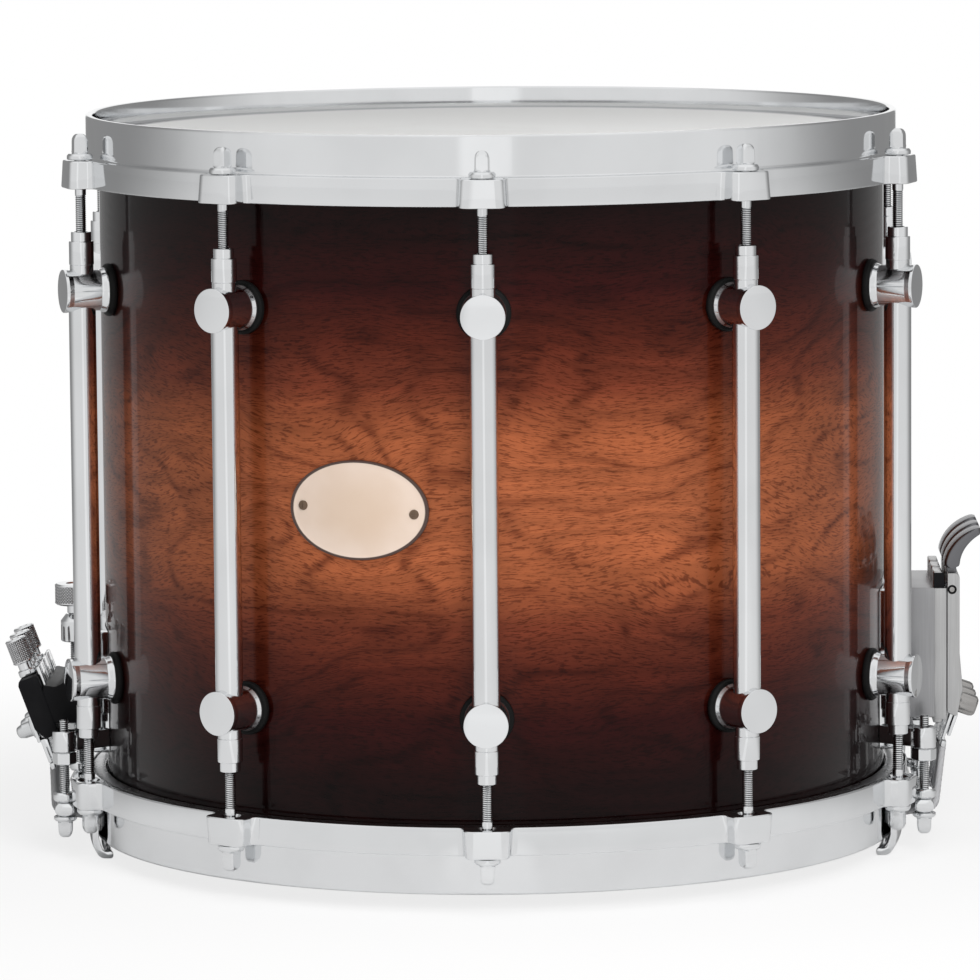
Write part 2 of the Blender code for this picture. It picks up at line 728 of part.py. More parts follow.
def build_lugs(look):
    """Ten tube lugs, one for each pair of ears."""
    solids = [lug_tube()] + [lug_post(side) for side in (-1, 1)]
    bore = shifted(cylinder(ROD_RADIUS + BORE_CLEARANCE, -POST_SPACING, POST_SPACING, LUG_SIDES), y=-ROD_CIRCLE)
    first = node("lug_01", look, solids, [bore])
    names = [f"lug_{number:02d}" for number in range(1, LUG_COUNT + 1)]
    places = [Matrix.Translation((0, 0, MID_HEIGHT)) @ Matrix.Rotation(lug * LUG_ANGLE, 4, "Z")
              for lug in range(LUG_COUNT)]
    copies(first, names, places)


def tension_rod():
    """A tension rod with its washer; z = 0 is the seat of the washer."""
    seat = RIM_TOP - COLLAR_HEIGHT + GAP
    foot = MID_HEIGHT + RECEIVER_END - ROD_ENGAGEMENT - seat
    head_top = WASHER_THICKNESS + KEY_HEAD_HEIGHT
    shank = lofted([
        round_ring(ROD_RADIUS, foot, SMALL_SIDES),
        round_ring(ROD_RADIUS, 0.0, SMALL_SIDES),
        round_ring(WASHER_RADIUS, 0.0, SMALL_SIDES),
        round_ring(WASHER_RADIUS, WASHER_THICKNESS, SMALL_SIDES),
        square_ring(KEY_HEAD_WIDTH, WASHER_THICKNESS),
        square_ring(KEY_SHOULDER_WIDTH, head_top - KEY_SHOULDER_DROP),
        square_ring(KEY_TIP_WIDTH, head_top),
    ])
    return shank


def build_tension_rods(look):
    """Ten rods to the batter hoop from above and ten to the snare hoop from below."""
    seat = RIM_TOP - COLLAR_HEIGHT + GAP
    first = node("batter_rod_01", look, [tension_rod()])
    names = [f"batter_rod_{number:02d}" for number in range(1, LUG_COUNT + 1)]
    names += [f"snare_rod_{number:02d}" for number in range(1, LUG_COUNT + 1)]
    turn_over = Matrix.Rotation(math.pi, 4, "X")
    places = []
    for lug in range(LUG_COUNT):
        places.append(Matrix.Translation(polar(ROD_CIRCLE, lug * LUG_ANGLE, seat)))
    for lug in range(LUG_COUNT):
        places.append(Matrix.Translation(polar(ROD_CIRCLE, lug * LUG_ANGLE, flipped(seat))) @ turn_over)
    copies(first, names, places)


def build_badge(look):
    """The oval plate, curved to the shell, with two rivet heads and nothing written on it."""
    back = SHELL_RADIUS + GAP
    face = back + BADGE_THICKNESS
    half_angle = BADGE_WIDTH / 2 / face
    centre = math.radians(BADGE_AZIMUTH)
    level = MID_HEIGHT + BADGE_ABOVE_MIDDLE
    sections = []
    for column in range(BADGE_COLUMNS + 1):
        share = math.cos(math.pi * (column + BADGE_END_SHARE) / (BADGE_COLUMNS + 2 * BADGE_END_SHARE))
        half_height = BADGE_HEIGHT / 2 * math.sqrt(1.0 - share * share)
        azimuth = centre - half_angle * share
        corners = [(back, -half_height), (face, -half_height), (face, half_height), (back, half_height)]
        sections.append([polar(radius, azimuth, level + height) for radius, height in corners])
    rivets = []
    for side in (-1, 1):
        azimuth = centre + side * (half_angle - BADGE_RIVET_INSET / face)
        head = lofted([
            round_ring(BADGE_RIVET_RADIUS, face - BADGE_THICKNESS / 2, SMALL_SIDES),
            round_ring(BADGE_RIVET_RADIUS, face + BADGE_THICKNESS / 3, SMALL_SIDES),
            round_ring(BADGE_RIVET_RADIUS / 2, face + BADGE_RIVET_CROWN, SMALL_SIDES),
        ])
        rivets.append(moved(head, radial_frame(azimuth, level)))
    node("badge", look, [lofted(sections)] + rivets)


def side_frame(side):
    """Puts a piece made on the +X side on either side; both sides keep the same way up."""
    return Matrix.Rotation(math.pi if side < 0 else 0.0, 4, "Z")


def shell_cutter():
    """The space that the shell takes, with the seating gap, for pieces that sit on it."""
    profile = [(0.0, 0.0), (SHELL_RADIUS + GAP, 0.0), (SHELL_RADIUS + GAP, RIM_TOP), (0.0, RIM_TOP)]
    return turned(profile, drum_stations())


def yoke_outline():
    """The plan of the yoke: a crossbar on the saddle with an arm out to each bridge rod."""
    back = SHELL_RADIUS - SADDLE_THICKNESS
    crossbar = SHELL_RADIUS + YOKE_DEPTH
    half_saddle = SADDLE_WIDTH / 2
    inner = BRIDGE_ROD_Y - ARM_RADIUS
    side = [(crossbar, inner - ARM_RADIUS), (BRIDGE_X, inner), (BRIDGE_X, BRIDGE_ROD_Y + ARM_RADIUS)]
    side += [(SADDLE_FACE + ARM_RADIUS, BRIDGE_ROD_Y + ARM_RADIUS / 2), (back, half_saddle)]
    return side + [(x, -y) for x, y in reversed(side)]


def bracket(name, look, side, top, extra=(), cuts=()):
    """A saddle on the shell with a yoke, two rod bosses and the lock nuts under them."""
    half_saddle = SADDLE_WIDTH / 2
    saddle = block((SHELL_RADIUS - 2 * SADDLE_THICKNESS, -half_saddle, YOKE_BOTTOM - YOKE_HEIGHT / 4),
                   (SADDLE_FACE, half_saddle, top))
    eased(saddle, HOUSING_EDGE * 2, lambda edge: min(v.co.x for v in edge.verts) > SHELL_RADIUS)
    solids = [saddle, plate(yoke_outline(), YOKE_BOTTOM, YOKE_TOP)]
    holes = []
    for along in (-BRIDGE_ROD_Y, BRIDGE_ROD_Y):
        solids.append(shifted(cylinder(ARM_RADIUS, YOKE_BOTTOM - GAP, YOKE_TOP + GAP), BRIDGE_X, along))
        nut = cylinder(LOCK_NUT_RADIUS, YOKE_BOTTOM - LOCK_NUT_HEIGHT, YOKE_BOTTOM + GAP, HEX_SIDES)
        solids.append(shifted(nut, BRIDGE_X, along))
        hole = cylinder(BRIDGE_ROD_RADIUS + BORE_CLEARANCE, YOKE_BOTTOM - 2 * LOCK_NUT_HEIGHT,
                        YOKE_TOP + YOKE_HEIGHT, SMALL_SIDES)
        holes.append(shifted(hole, BRIDGE_X, along))
    solids += list(extra)
    place = side_frame(side)
    placed_cuts = [moved(cut, place) for cut in [gathered(holes), shell_cutter(), *cuts]]
    node(name, look, [moved(solid, place) for solid in solids], placed_cuts)


def bridge_bar(name, look, side):
    """A flat bar with round edges that the snares turn under, with a hole for each key rod."""
    half_width = BRIDGE_WIDTH / 2
    half_height = BRIDGE_HEIGHT / 2
    centre = BRIDGE_BOTTOM + half_height
    reach = BRIDGE_ROD_Y + half_width
    outline = []
    for angle in even_angles(ROUND_SIDES):
        x = half_width - half_height if math.sin(angle) > 0 else half_height - half_width
        outline.append((BRIDGE_X + x + half_height * math.sin(angle), centre - half_height * math.cos(angle)))
    bar = prism(outline, -reach, reach)
    holes = [
        shifted(cylinder(BRIDGE_ROD_RADIUS + BORE_CLEARANCE, 0.0, YOKE_BOTTOM, SMALL_SIDES), BRIDGE_X, along)
        for along in (-BRIDGE_ROD_Y, BRIDGE_ROD_Y)
    ]
    place = side_frame(side)
    node(name, look, [moved(bar, place)], [moved(gathered(holes), place)],
         origin=(side * BRIDGE_X, 0.0, centre))


def bridge_rod():
    """A key rod: square head and washer under the bar, collar over it, thread up into the yoke."""
    bar_bottom = BRIDGE_BOTTOM - GAP
    bar_top = BRIDGE_TOP + GAP
    washer_bottom = bar_bottom - BRIDGE_WASHER_THICKNESS
    head_end = washer_bottom - BRIDGE_HEAD_HEIGHT
    neck = BRIDGE_ROD_RADIUS
    tip = YOKE_TOP + BRIDGE_ROD_ABOVE_YOKE
    return lofted([
        square_ring(KEY_TIP_WIDTH, head_end),
        square_ring(KEY_SHOULDER_WIDTH, head_end + KEY_SHOULDER_DROP),
        square_ring(KEY_HEAD_WIDTH, washer_bottom),
        round_ring(WASHER_RADIUS, washer_bottom, SMALL_SIDES),
        round_ring(WASHER_RADIUS, bar_bottom, SMALL_SIDES),
        round_ring(neck, bar_bottom, SMALL_SIDES),
        round_ring(neck, bar_top, SMALL_SIDES),
        round_ring(BRIDGE_COLLAR_RADIUS, bar_top, SMALL_SIDES),
        round_ring(BRIDGE_COLLAR_RADIUS, bar_top + BRIDGE_COLLAR_HEIGHT, SMALL_SIDES),
        round_ring(neck, bar_top + BRIDGE_COLLAR_HEIGHT, SMALL_SIDES),
        round_ring(neck, tip, SMALL_SIDES),
    ])


def build_bridges(look):
    """The bridge bar and its two key rods on each side."""
    for side, name in ((1, "strainer"), (-1, "butt")):
        bridge_bar(f"{name}_bridge", look, side)
        first = node(f"{name}_bridge_rod_1", look, [bridge_rod()])
        names = [f"{name}_bridge_rod_{number}" for number in (1, 2)]
        places = [Matrix.Translation((side * BRIDGE_X, along, 0.0))
                  for along in (-BRIDGE_ROD_Y, BRIDGE_ROD_Y)]
        copies(first, names, places)


def snare_rows():
    """Where the three sets of snares lie along Y."""
    return [number * SNARE_PITCH - SNARE_SPREAD / 2 for number in range(SNARE_COUNT)]


def build_strainer_housing(look):
    """The strainer's housing with a T-slot for each slider, open above and below."""
    housing = block((HOUSING_BACK, -HOUSING_WIDTH / 2, HOUSING_BOTTOM), (HOUSING_FRONT, HOUSING_WIDTH / 2, HOUSING_TOP))
    eased(housing, HOUSING_EDGE)
    channel_front = HOUSING_FRONT - CHANNEL_LIP
    channel_back = channel_front - CORE_THICKNESS - 2 * GAP
    slots = []
    for row in snare_rows():
        half_core = CORE_WIDTH / 2 + GAP
        half_neck = NECK_WIDTH / 2 + GAP
        slots.append(block((channel_back, row - half_core, HOUSING_BOTTOM - HOUSING_EDGE),
                           (channel_front, row + half_core, HOUSING_TOP + HOUSING_EDGE)))
        slots.append(block((channel_front - CHANNEL_LIP / 2, row - half_neck, HOUSING_BOTTOM - HOUSING_EDGE),
                           (HOUSING_FRONT + HOUSING_EDGE, row + half_neck, HOUSING_TOP + HOUSING_EDGE)))
    node("strainer_housing", look, [housing], slots)


def lever_bar_outline():
    """The side of a lever bar: straight for most of its length, flared over the clamp bolt."""
    back = HOUSING_FRONT + GAP
    front = back + LEVER_BAR_THICKNESS
    foot = HOUSING_BOTTOM
    halfway = (LEVER_FLARE_START + LEVER_FLARE_PEAK) / 2
    return [
        (back, LEVER_TOP),
        (front - HOUSING_EDGE, LEVER_TOP),
        (front, LEVER_TOP - HOUSING_EDGE),
        (front, foot + LEVER_FLARE_START),
        (front + LEVER_FLARE / 3, foot + halfway),
        (front + LEVER_FLARE, foot + LEVER_FLARE_PEAK),
        (front - LEVER_TOE_SETBACK, foot),
        (back, foot + LEVER_HEEL_RISE),
    ]


def lead_direction(side):
    """The unit vector down a lead from a clamp to the bridge, in X and Z on either side."""
    lean = math.radians(BUTT_TILT)
    return Vector((-side * math.sin(lean), 0.0, -math.cos(lean)))


def clamp_frame(anchor, side):
    """A frame at a point of a clamp, with its Z back up along the lead."""
    up = -lead_direction(side)
    across = Vector((0.0, 1.0, 0.0))
    out = across.cross(up)
    frame = Matrix((out, across, up)).transposed().to_4x4()
    return Matrix.Translation(anchor) @ frame


def strainer_clamp_end():
    """Where the leads leave the clamp plates of the strainer's sliders."""
    start = Vector((HOUSING_FRONT + GAP + LEVER_BAR_THICKNESS / 2, 0.0, HOUSING_BOTTOM))
    return start + lead_direction(1) * CLAMP_PLATE_LENGTH


def key_bolt(radius, length, anchor, direction):
    """A fluted clamp bolt that points along a direction, with its shank behind the anchor."""
    rings = [
        round_ring(radius * BOLT_SHANK_SHARE, -length / 2, SMALL_SIDES),
        round_ring(radius * BOLT_SHANK_SHARE, 0.0, SMALL_SIDES),
        round_ring(radius, KEY_BOLT_EDGE, SMALL_SIDES),
        round_ring(radius, length - 2 * KEY_BOLT_EDGE, SMALL_SIDES),
        round_ring(radius * BOLT_TIP_SHARE, length, SMALL_SIDES),
    ]
    aim = direction.to_track_quat("Z", "Y").to_matrix().to_4x4()
    return moved(lofted(rings), Matrix.Translation(anchor) @ aim)


def build_sliders(look):
    """The three sliders: a core in the T-slot, the lever bar outside it, its clamp plate and bolt."""
    channel_front = HOUSING_FRONT - CHANNEL_LIP
    core_front = channel_front - GAP
    core_back = core_front - CORE_THICKNESS
    core_bottom = HOUSING_BOTTOM - CORE_BELOW_HOUSING
    core_top = HOUSING_TOP + CORE_ABOVE_HOUSING
    bar_back = HOUSING_FRONT + GAP
    pivot_x, pivot_z = pivot_point()
    bolt_foot = Vector((bar_back + LEVER_BAR_THICKNESS, 0.0, HOUSING_BOTTOM + KEY_BOLT_ABOVE_TOE))
    droop = math.radians(KEY_BOLT_DROOP)
    bolt_aim = Vector((math.cos(droop), 0.0, -math.sin(droop)))
    plate_top = clamp_frame(strainer_clamp_end(), 1)
    half_plate = CLAMP_PLATE_THICKNESS / 2
    half_leads = STRAND_PITCH * STRANDS_PER_SET / 2
    for number, row in enumerate(snare_rows(), start=1):
        core = block((core_back, row - CORE_WIDTH / 2, core_bottom), (core_front, row + CORE_WIDTH / 2, core_top))
        neck = block((core_front - GAP, row - NECK_WIDTH / 2, HOUSING_BOTTOM + HOUSING_EDGE),
                     (bar_back + GAP, row + NECK_WIDTH / 2, HOUSING_TOP - HOUSING_EDGE))
        bar = prism(lever_bar_outline(), row - LEVER_BAR_WIDTH / 2, row + LEVER_BAR_WIDTH / 2)
        eased(bar, HOUSING_EDGE / 2, lambda edge: min(v.co.x for v in edge.verts) > bar_back + GAP)
        clamp = block((-half_plate, -half_leads, 0.0),
                      (half_plate, half_leads, CLAMP_PLATE_LENGTH + CLAMP_PLATE_OVERLAP))
        clamp = shifted(moved(clamp, plate_top), y=row)
        bolt = shifted(key_bolt(KEY_BOLT_RADIUS, KEY_BOLT_LENGTH, bolt_foot, bolt_aim), y=row)
        fork = block((core_back - CORE_THICKNESS, row - FORK_WIDTH / 2, pivot_z - TANG_RADIUS - GAP),
                     (bar_back + 2 * LEVER_BAR_THICKNESS, row + FORK_WIDTH / 2, core_top + HOUSING_EDGE))
        pin_hole = cylinder(PIVOT_PIN_RADIUS + GAP, row - LEVER_BAR_WIDTH, row + LEVER_BAR_WIDTH, SMALL_SIDES)
        pin_hole = across_y(pin_hole, pivot_x, row, pivot_z)
        node(f"strainer_slider_{number}", look, [core, neck, bar, clamp, bolt], [fork, pin_hole],
             origin=(pivot_x, row, HOUSING_TOP))


def pivot_point():
    """The centre of the lever pins, as x and z."""
    return HOUSING_FRONT + GAP + PIVOT_DEPTH, LEVER_TOP - PIVOT_BELOW_TOP


def across_y(shape, x, centre_y, z):
    """Lays a bar made along Z about the height centre_y across the drum, at x and z."""
    lie_down = Matrix.Translation((x, 0.0, z)) @ Matrix.Rotation(-math.pi / 2, 4, "X")
    return moved(shape, lie_down)


def paddle_sections():
    """The thumb paddle of a lever as sections along its curve, in X and Z from the pivot."""
    root_rise = PIVOT_BELOW_TOP + PADDLE_ABOVE_LEVER
    sweep = math.radians(PADDLE_SWEEP)
    sections = []
    for step in range(PADDLE_STEPS + 1):
        share = step / PADDLE_STEPS
        turn = share * sweep
        middle_x = PADDLE_REACH * (1.0 - math.cos(turn)) / (1.0 - math.cos(sweep))
        middle_z = root_rise + (PADDLE_RISE - PADDLE_TIP_THICKNESS) * math.sin(turn) / math.sin(sweep)
        thickness = PADDLE_ROOT_THICKNESS + (PADDLE_TIP_THICKNESS - PADDLE_ROOT_THICKNESS) * share
        width = PADDLE_WIDTH + (PADDLE_TIP_WIDTH - PADDLE_WIDTH) * share ** 3
        sections.append((middle_x, middle_z, turn, thickness, width))
    return sections


def build_handles(look):
    """The three throw levers: a tang in the fork of the bar, a pin through it and a curved paddle."""
    pivot_x, pivot_z = pivot_point()
    sections = paddle_sections()
    for number, row in enumerate(snare_rows(), start=1):
        rings = []
        for middle_x, middle_z, turn, thickness, width in sections:
            normal = Vector((math.cos(turn), 0.0, -math.sin(turn)))
            centre = Vector((pivot_x + middle_x, row, pivot_z + middle_z))
            across = Vector((0.0, width / 2, 0.0))
            crown = normal * thickness / 2
            edge = crown * PADDLE_EDGE_SHARE
            flat = across * PADDLE_FLAT_SHARE
            rings.append([centre - edge - across, centre - crown - flat, centre - crown + flat,
                          centre - edge + across, centre + edge + across, centre + crown + flat,
                          centre + crown - flat, centre + edge - across])
        paddle = lofted(rings)
        half_tang = FORK_WIDTH / 2 - GAP
        round_tang = across_y(cylinder(TANG_RADIUS, row - half_tang, row + half_tang), pivot_x, row, pivot_z)
        neck = block((pivot_x - TANG_NECK_WIDTH / 2, row - half_tang + GAP, pivot_z + GAP),
                     (pivot_x + TANG_NECK_WIDTH / 2, row + half_tang - GAP, pivot_z + sections[1][1] - GAP))
        pin = cylinder(PIVOT_PIN_RADIUS, row - LEVER_BAR_WIDTH / 2, row + LEVER_BAR_WIDTH / 2, SMALL_SIDES)
        solids = [paddle, round_tang, neck, across_y(pin, pivot_x, row, pivot_z)]
        node(f"strainer_handle_{number}", look, solids, origin=(pivot_x, row, pivot_z))


def carriage_bottom():
    """The rest height of the butt carriage."""
    return YOKE_TOP + CARRIAGE_ABOVE_YOKE


def block_centre():
    """The middle of the tilted clamp block, on the -X side."""
    return Vector((-(BRIDGE_X + CLAMP_BLOCK_STANDOFF), 0.0, carriage_bottom() + CLAMP_BLOCK_RISE))


def tilted_frame():
    """A frame at the middle of the clamp block, with its Z up along the tilt."""
    return Matrix.Translation(block_centre()) @ Matrix.Rotation(-math.radians(BUTT_TILT), 4, "Y")


def butt_clamp_end():
    """Where the leads leave the clamp plates of the butt."""
    local = Vector((-BUTT_PLATE_OFFSET, 0.0, -CLAMP_BLOCK_LENGTH / 2 - CLAMP_PLATE_LENGTH))
    return tilted_frame() @ local


def build_carriage(look):
    """The butt carriage: a body on the height screw and a tilted block for the three clamps."""
    bottom = carriage_bottom()
    top = bottom + CARRIAGE_HEIGHT
    back = -(SADDLE_FACE + GAP)
    outline = [
        (back, bottom),
        (back, top),
        (back - CARRIAGE_DEPTH / 2, top),
        (back - CARRIAGE_DEPTH / 2 - CARRIAGE_HOLLOW, top - CARRIAGE_HOLLOW),
        (back - CARRIAGE_DEPTH, top - CARRIAGE_HOLLOW),
        (back - CARRIAGE_DEPTH, bottom),
    ]
    body = eased(prism(outline, -CARRIAGE_WIDTH / 2, CARRIAGE_WIDTH / 2), CLAMP_BLOCK_EDGE)
    place = tilted_frame()
    half_thick = CLAMP_BLOCK_THICKNESS / 2
    half_long = CLAMP_BLOCK_LENGTH / 2
    half_wide = CARRIAGE_WIDTH / 2 + GAP
    tilted = block((-half_thick, -half_wide, -half_long), (half_thick, half_wide, half_long))
    eased(tilted, CLAMP_BLOCK_EDGE)
    solids = [body, moved(tilted, place)]
    half_leads = STRAND_PITCH * STRANDS_PER_SET / 2
    plate_x = -BUTT_PLATE_OFFSET
    out = (place.to_3x3() @ Vector((-1.0, 0.0, 0.0))).normalized()
    cuts = []
    for row in snare_rows():
        clamp = block((plate_x - CLAMP_PLATE_THICKNESS / 2, row - half_leads, -half_long - CLAMP_PLATE_LENGTH),
                      (plate_x + CLAMP_PLATE_THICKNESS / 2, row + half_leads, -half_long + BUTT_PLATE_LAP))
        solids.append(moved(clamp, place))
        foot = place @ Vector((-half_thick - BUTT_BOLT_SINK, row, -BUTT_BOLT_DROP))
        solids.append(key_bolt(BUTT_BOLT_RADIUS, BUTT_BOLT_LENGTH, foot, out))
        screw_hole = cylinder(TENSION_SCREW_RADIUS + GAP, half_long - TENSION_SCREW_LENGTH - 3 * GAP,
                              half_long + TENSION_SCREW_LENGTH, SMALL_SIDES)
        cuts.append(moved(shifted(screw_hole, y=row), place))
    screw_x = -(SHELL_RADIUS + HEIGHT_AXIS_STANDOFF)
    cuts.append(shifted(cylinder(HEIGHT_SCREW_RADIUS + BORE_CLEARANCE, 0.0, RIM_TOP), screw_x))
    node("butt_carriage", look, solids, cuts, origin=(screw_x, 0.0, bottom))


def knurled_grip(radius, bottom, top):
    """The knurled barrel of a thumb knob, with its ends turned down."""
    return lofted([
        round_ring(radius - KNOB_EDGE, bottom, KNURL_SIDES, KNURL_VALLEY),
        round_ring(radius, bottom + KNOB_EDGE, KNURL_SIDES, KNURL_VALLEY),
        round_ring(radius, top - KNOB_EDGE, KNURL_SIDES, KNURL_VALLEY),
        round_ring(radius - KNOB_EDGE, top, KNURL_SIDES, KNURL_VALLEY),
    ])


def tension_knob():
    """A knurled thumb knob with its neck and its screw; z = 0 is its seat on the block."""
    neck_top = TENSION_NECK_HEIGHT
    knob_top = neck_top + TENSION_KNOB_HEIGHT
    stem = lofted([
        round_ring(TENSION_SCREW_RADIUS, -TENSION_SCREW_LENGTH, SMALL_SIDES),
        round_ring(TENSION_SCREW_RADIUS, 0.0, SMALL_SIDES),
        round_ring(TENSION_SEAT_RADIUS, 0.0, SMALL_SIDES),
        round_ring(TENSION_SEAT_RADIUS, neck_top / 2, SMALL_SIDES),
        round_ring(TENSION_NECK_RADIUS, neck_top / 2, SMALL_SIDES),
        round_ring(TENSION_NECK_RADIUS, neck_top + KNOB_EDGE, SMALL_SIDES),
    ])
    return [stem, knurled_grip(TENSION_KNOB_RADIUS, neck_top, knob_top)]


def build_tension_knobs(look):
    """Three knurled knobs on the top of the tilted block."""
    first = node("butt_tension_knob_1", look, tension_knob())
    names = [f"butt_tension_knob_{number}" for number in range(1, SNARE_COUNT + 1)]
    seat = CLAMP_BLOCK_LENGTH / 2 + GAP
    places = [tilted_frame() @ Matrix.Translation((0.0, row, seat)) for row in snare_rows()]
    copies(first, names, places)


def build_height_knob(look):
    """The knurled knob and long screw that lift the carriage."""
    x = -(SHELL_RADIUS + HEIGHT_AXIS_STANDOFF)
    stem_foot = UPPER_ARM_SEAT + GAP
    knob_foot = stem_foot + HEIGHT_STEM_HEIGHT
    knob_top = knob_foot + HEIGHT_KNOB_HEIGHT
    stem = lofted([
        round_ring(HEIGHT_SCREW_RADIUS, YOKE_TOP + HEIGHT_SCREW_INSET, ROUND_SIDES),
        round_ring(HEIGHT_SCREW_RADIUS, stem_foot, ROUND_SIDES),
        round_ring(HEIGHT_STEM_RADIUS, stem_foot, ROUND_SIDES),
        round_ring(HEIGHT_STEM_RADIUS, knob_foot + KNOB_EDGE, ROUND_SIDES),
    ])
    knob = knurled_grip(HEIGHT_KNOB_RADIUS, knob_foot, knob_top)
    node("butt_height_knob", look, [shifted(stem, x), shifted(knob, x)], origin=(x, 0.0, UPPER_ARM_SEAT))


def upper_arm():
    """The arm of the butt bracket that carries the height screw, made on the +X side."""
    axis = SHELL_RADIUS + HEIGHT_AXIS_STANDOFF
    half_arm = UPPER_ARM_RADIUS - GAP
    arm = block((SHELL_RADIUS, -half_arm, UPPER_ARM_BOTTOM + GAP), (axis, half_arm, UPPER_ARM_TOP - GAP))
    boss = shifted(lofted([
        round_ring(UPPER_ARM_RADIUS, UPPER_ARM_BOTTOM, KNURL_SIDES),
        round_ring(UPPER_ARM_RADIUS, UPPER_ARM_TOP, KNURL_SIDES),
        round_ring(UPPER_ARM_CONE_RADIUS, UPPER_ARM_SEAT, KNURL_SIDES),
    ]), axis)
    hole = shifted(cylinder(HEIGHT_SCREW_RADIUS + BORE_CLEARANCE, UPPER_ARM_BOTTOM - UPPER_ARM_HEIGHT,
                            UPPER_ARM_SEAT + UPPER_ARM_HEIGHT), axis)
    return [arm, boss], [hole]


def snare_path():
    """The middle of a strand in X and Z, from the strainer's clamp under both bridges to the butt's."""
    bend = BRIDGE_HEIGHT / 2 + GAP + STRAND_RADIUS
    bar_centre = BRIDGE_BOTTOM + BRIDGE_HEIGHT / 2
    corner = BRIDGE_X + (BRIDGE_WIDTH - BRIDGE_HEIGHT) / 2
    around = []
    for angle in WRAP_ANGLES:
        turn = math.radians(angle)
        around.append((corner + bend * math.cos(turn), bar_centre - bend * math.sin(turn)))
    inward = [(COLLAR_RADIUS, SNARE_PLANE + GAP), (SHELL_RADIUS - SHELL_WALL, SNARE_PLANE)]
    tab = LEAD_TAB_LENGTH / 2
    start = strainer_clamp_end() + lead_direction(1) * (GAP + tab)
    finish_point = butt_clamp_end() + lead_direction(-1) * (GAP + tab)
    right = [(start.x, start.z)] + around + inward
    left = [(-x, z) for x, z in reversed(around + inward)] + [(finish_point.x, finish_point.z)]
    return right + left


def strand(y):
    """One cable along the path."""
    path = [Vector((x, y, z)) for x, z in snare_path()]
    rings = []
    across = Vector((0.0, 1.0, 0.0))
    for index, point in enumerate(path):
        before = path[max(index - 1, 0)]
        after = path[min(index + 1, len(path) - 1)]
        along = (after - before).normalized()
        up = across.cross(along)
        ring = []
        for side in range(STRAND_SIDES):
            angle = math.tau * side / STRAND_SIDES
            ring.append(point + STRAND_RADIUS * (across * math.cos(angle) + up * math.sin(angle)))
        rings.append(ring)
    return lofted(rings)


def lead_tab(end, side, row):
    """The small block that gathers the strands of a set at a clamp."""
    half_width = STRAND_PITCH * STRANDS_PER_SET / 2
    half_thick = LEAD_TAB_THICKNESS / 2
    tab = block((-half_thick, -half_width, -GAP - LEAD_TAB_LENGTH), (half_thick, half_width, -GAP))
    return shifted(moved(tab, clamp_frame(end, side)), y=row)


def build_snares(look):
    """Three sets of cables, each gathered by a tab at both ends."""
    for number, row in enumerate(snare_rows(), start=1):
        solids = [lead_tab(strainer_clamp_end(), 1, row), lead_tab(butt_clamp_end(), -1, row)]
        for index in range(STRANDS_PER_SET):
            offset = (index - (STRANDS_PER_SET - 1) / 2) * STRAND_PITCH
            solids.append(strand(row + offset))
        node(f"snare_set_{number}", look, solids)


def main():
    """Builds every piece of the drum."""
    clear_scene()
    chrome = finish("chrome", CHROME)
    aluminium = finish("brushed_aluminium", BRUSHED_ALUMINIUM)
    black = finish("black_plastic", BLACK_PLASTIC)
    build_shell(finish("walnut_lacquer", WALNUT))
    build_vent_grommet(chrome)
    build_hoops(chrome)
    build_heads(finish("coated_film", COATED_FILM), finish("hazy_film", HAZY_FILM))
    build_lugs(chrome)
    build_tension_rods(chrome)
    build_badge(finish("ivory_enamel", IVORY))
    bracket("strainer_bracket", chrome, 1, HOUSING_TOP)
    build_strainer_housing(aluminium)
    build_sliders(finish("satin_steel", SATIN_STEEL))
    build_handles(finish("dark_satin", DARK_SATIN))
    arm_solids, arm_cuts = upper_arm()
    bracket("butt_bracket", chrome, -1, UPPER_ARM_TOP, arm_solids, arm_cuts)
    build_carriage(black)
    build_height_knob(chrome)
    build_tension_knobs(chrome)
    build_bridges(chrome)
    build_snares(finish("grey_cable", GREY_CABLE))


main()
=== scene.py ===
"""Concert snare drum, 14 by 12 inches: its visible pieces, finishes, light and camera.

Metres, +Z up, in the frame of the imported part: the drum's axis stands on the origin and its two
snare guards rest at z = 0. Azimuth 0 is the front (-Y) and grows toward +X, where the strainer is.
"""

import logging
import math
from collections.abc import Iterable, Sequence
from dataclasses import dataclass, field
from enum import Enum

import bmesh
import bpy
import numpy as np
from mathutils import Matrix, Vector


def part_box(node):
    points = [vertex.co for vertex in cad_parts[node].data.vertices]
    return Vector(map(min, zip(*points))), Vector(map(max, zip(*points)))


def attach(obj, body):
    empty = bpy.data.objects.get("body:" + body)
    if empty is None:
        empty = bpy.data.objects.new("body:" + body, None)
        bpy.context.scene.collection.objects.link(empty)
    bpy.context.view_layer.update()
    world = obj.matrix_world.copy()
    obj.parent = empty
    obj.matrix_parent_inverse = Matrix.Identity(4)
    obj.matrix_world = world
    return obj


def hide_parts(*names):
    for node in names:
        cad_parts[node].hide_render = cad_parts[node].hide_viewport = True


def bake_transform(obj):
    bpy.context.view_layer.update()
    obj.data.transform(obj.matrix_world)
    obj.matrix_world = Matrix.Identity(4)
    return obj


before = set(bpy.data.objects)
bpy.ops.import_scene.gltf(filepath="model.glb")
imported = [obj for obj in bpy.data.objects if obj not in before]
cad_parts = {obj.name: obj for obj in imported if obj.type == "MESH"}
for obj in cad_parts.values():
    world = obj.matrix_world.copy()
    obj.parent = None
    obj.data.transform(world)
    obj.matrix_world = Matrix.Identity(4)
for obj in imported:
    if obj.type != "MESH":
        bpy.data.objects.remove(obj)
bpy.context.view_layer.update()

LOG = logging.getLogger("snare_drum")

Outline = list[tuple[float, float]]
Corner = tuple[float, float, float]
Colour = tuple[float, float, float]

ROUND = 96
SMALL_ROUND = 32
DRUM_ROUND = 360
ARC_STEPS = 4
SMOOTH_ANGLE = 32.0
TINY = 1e-9


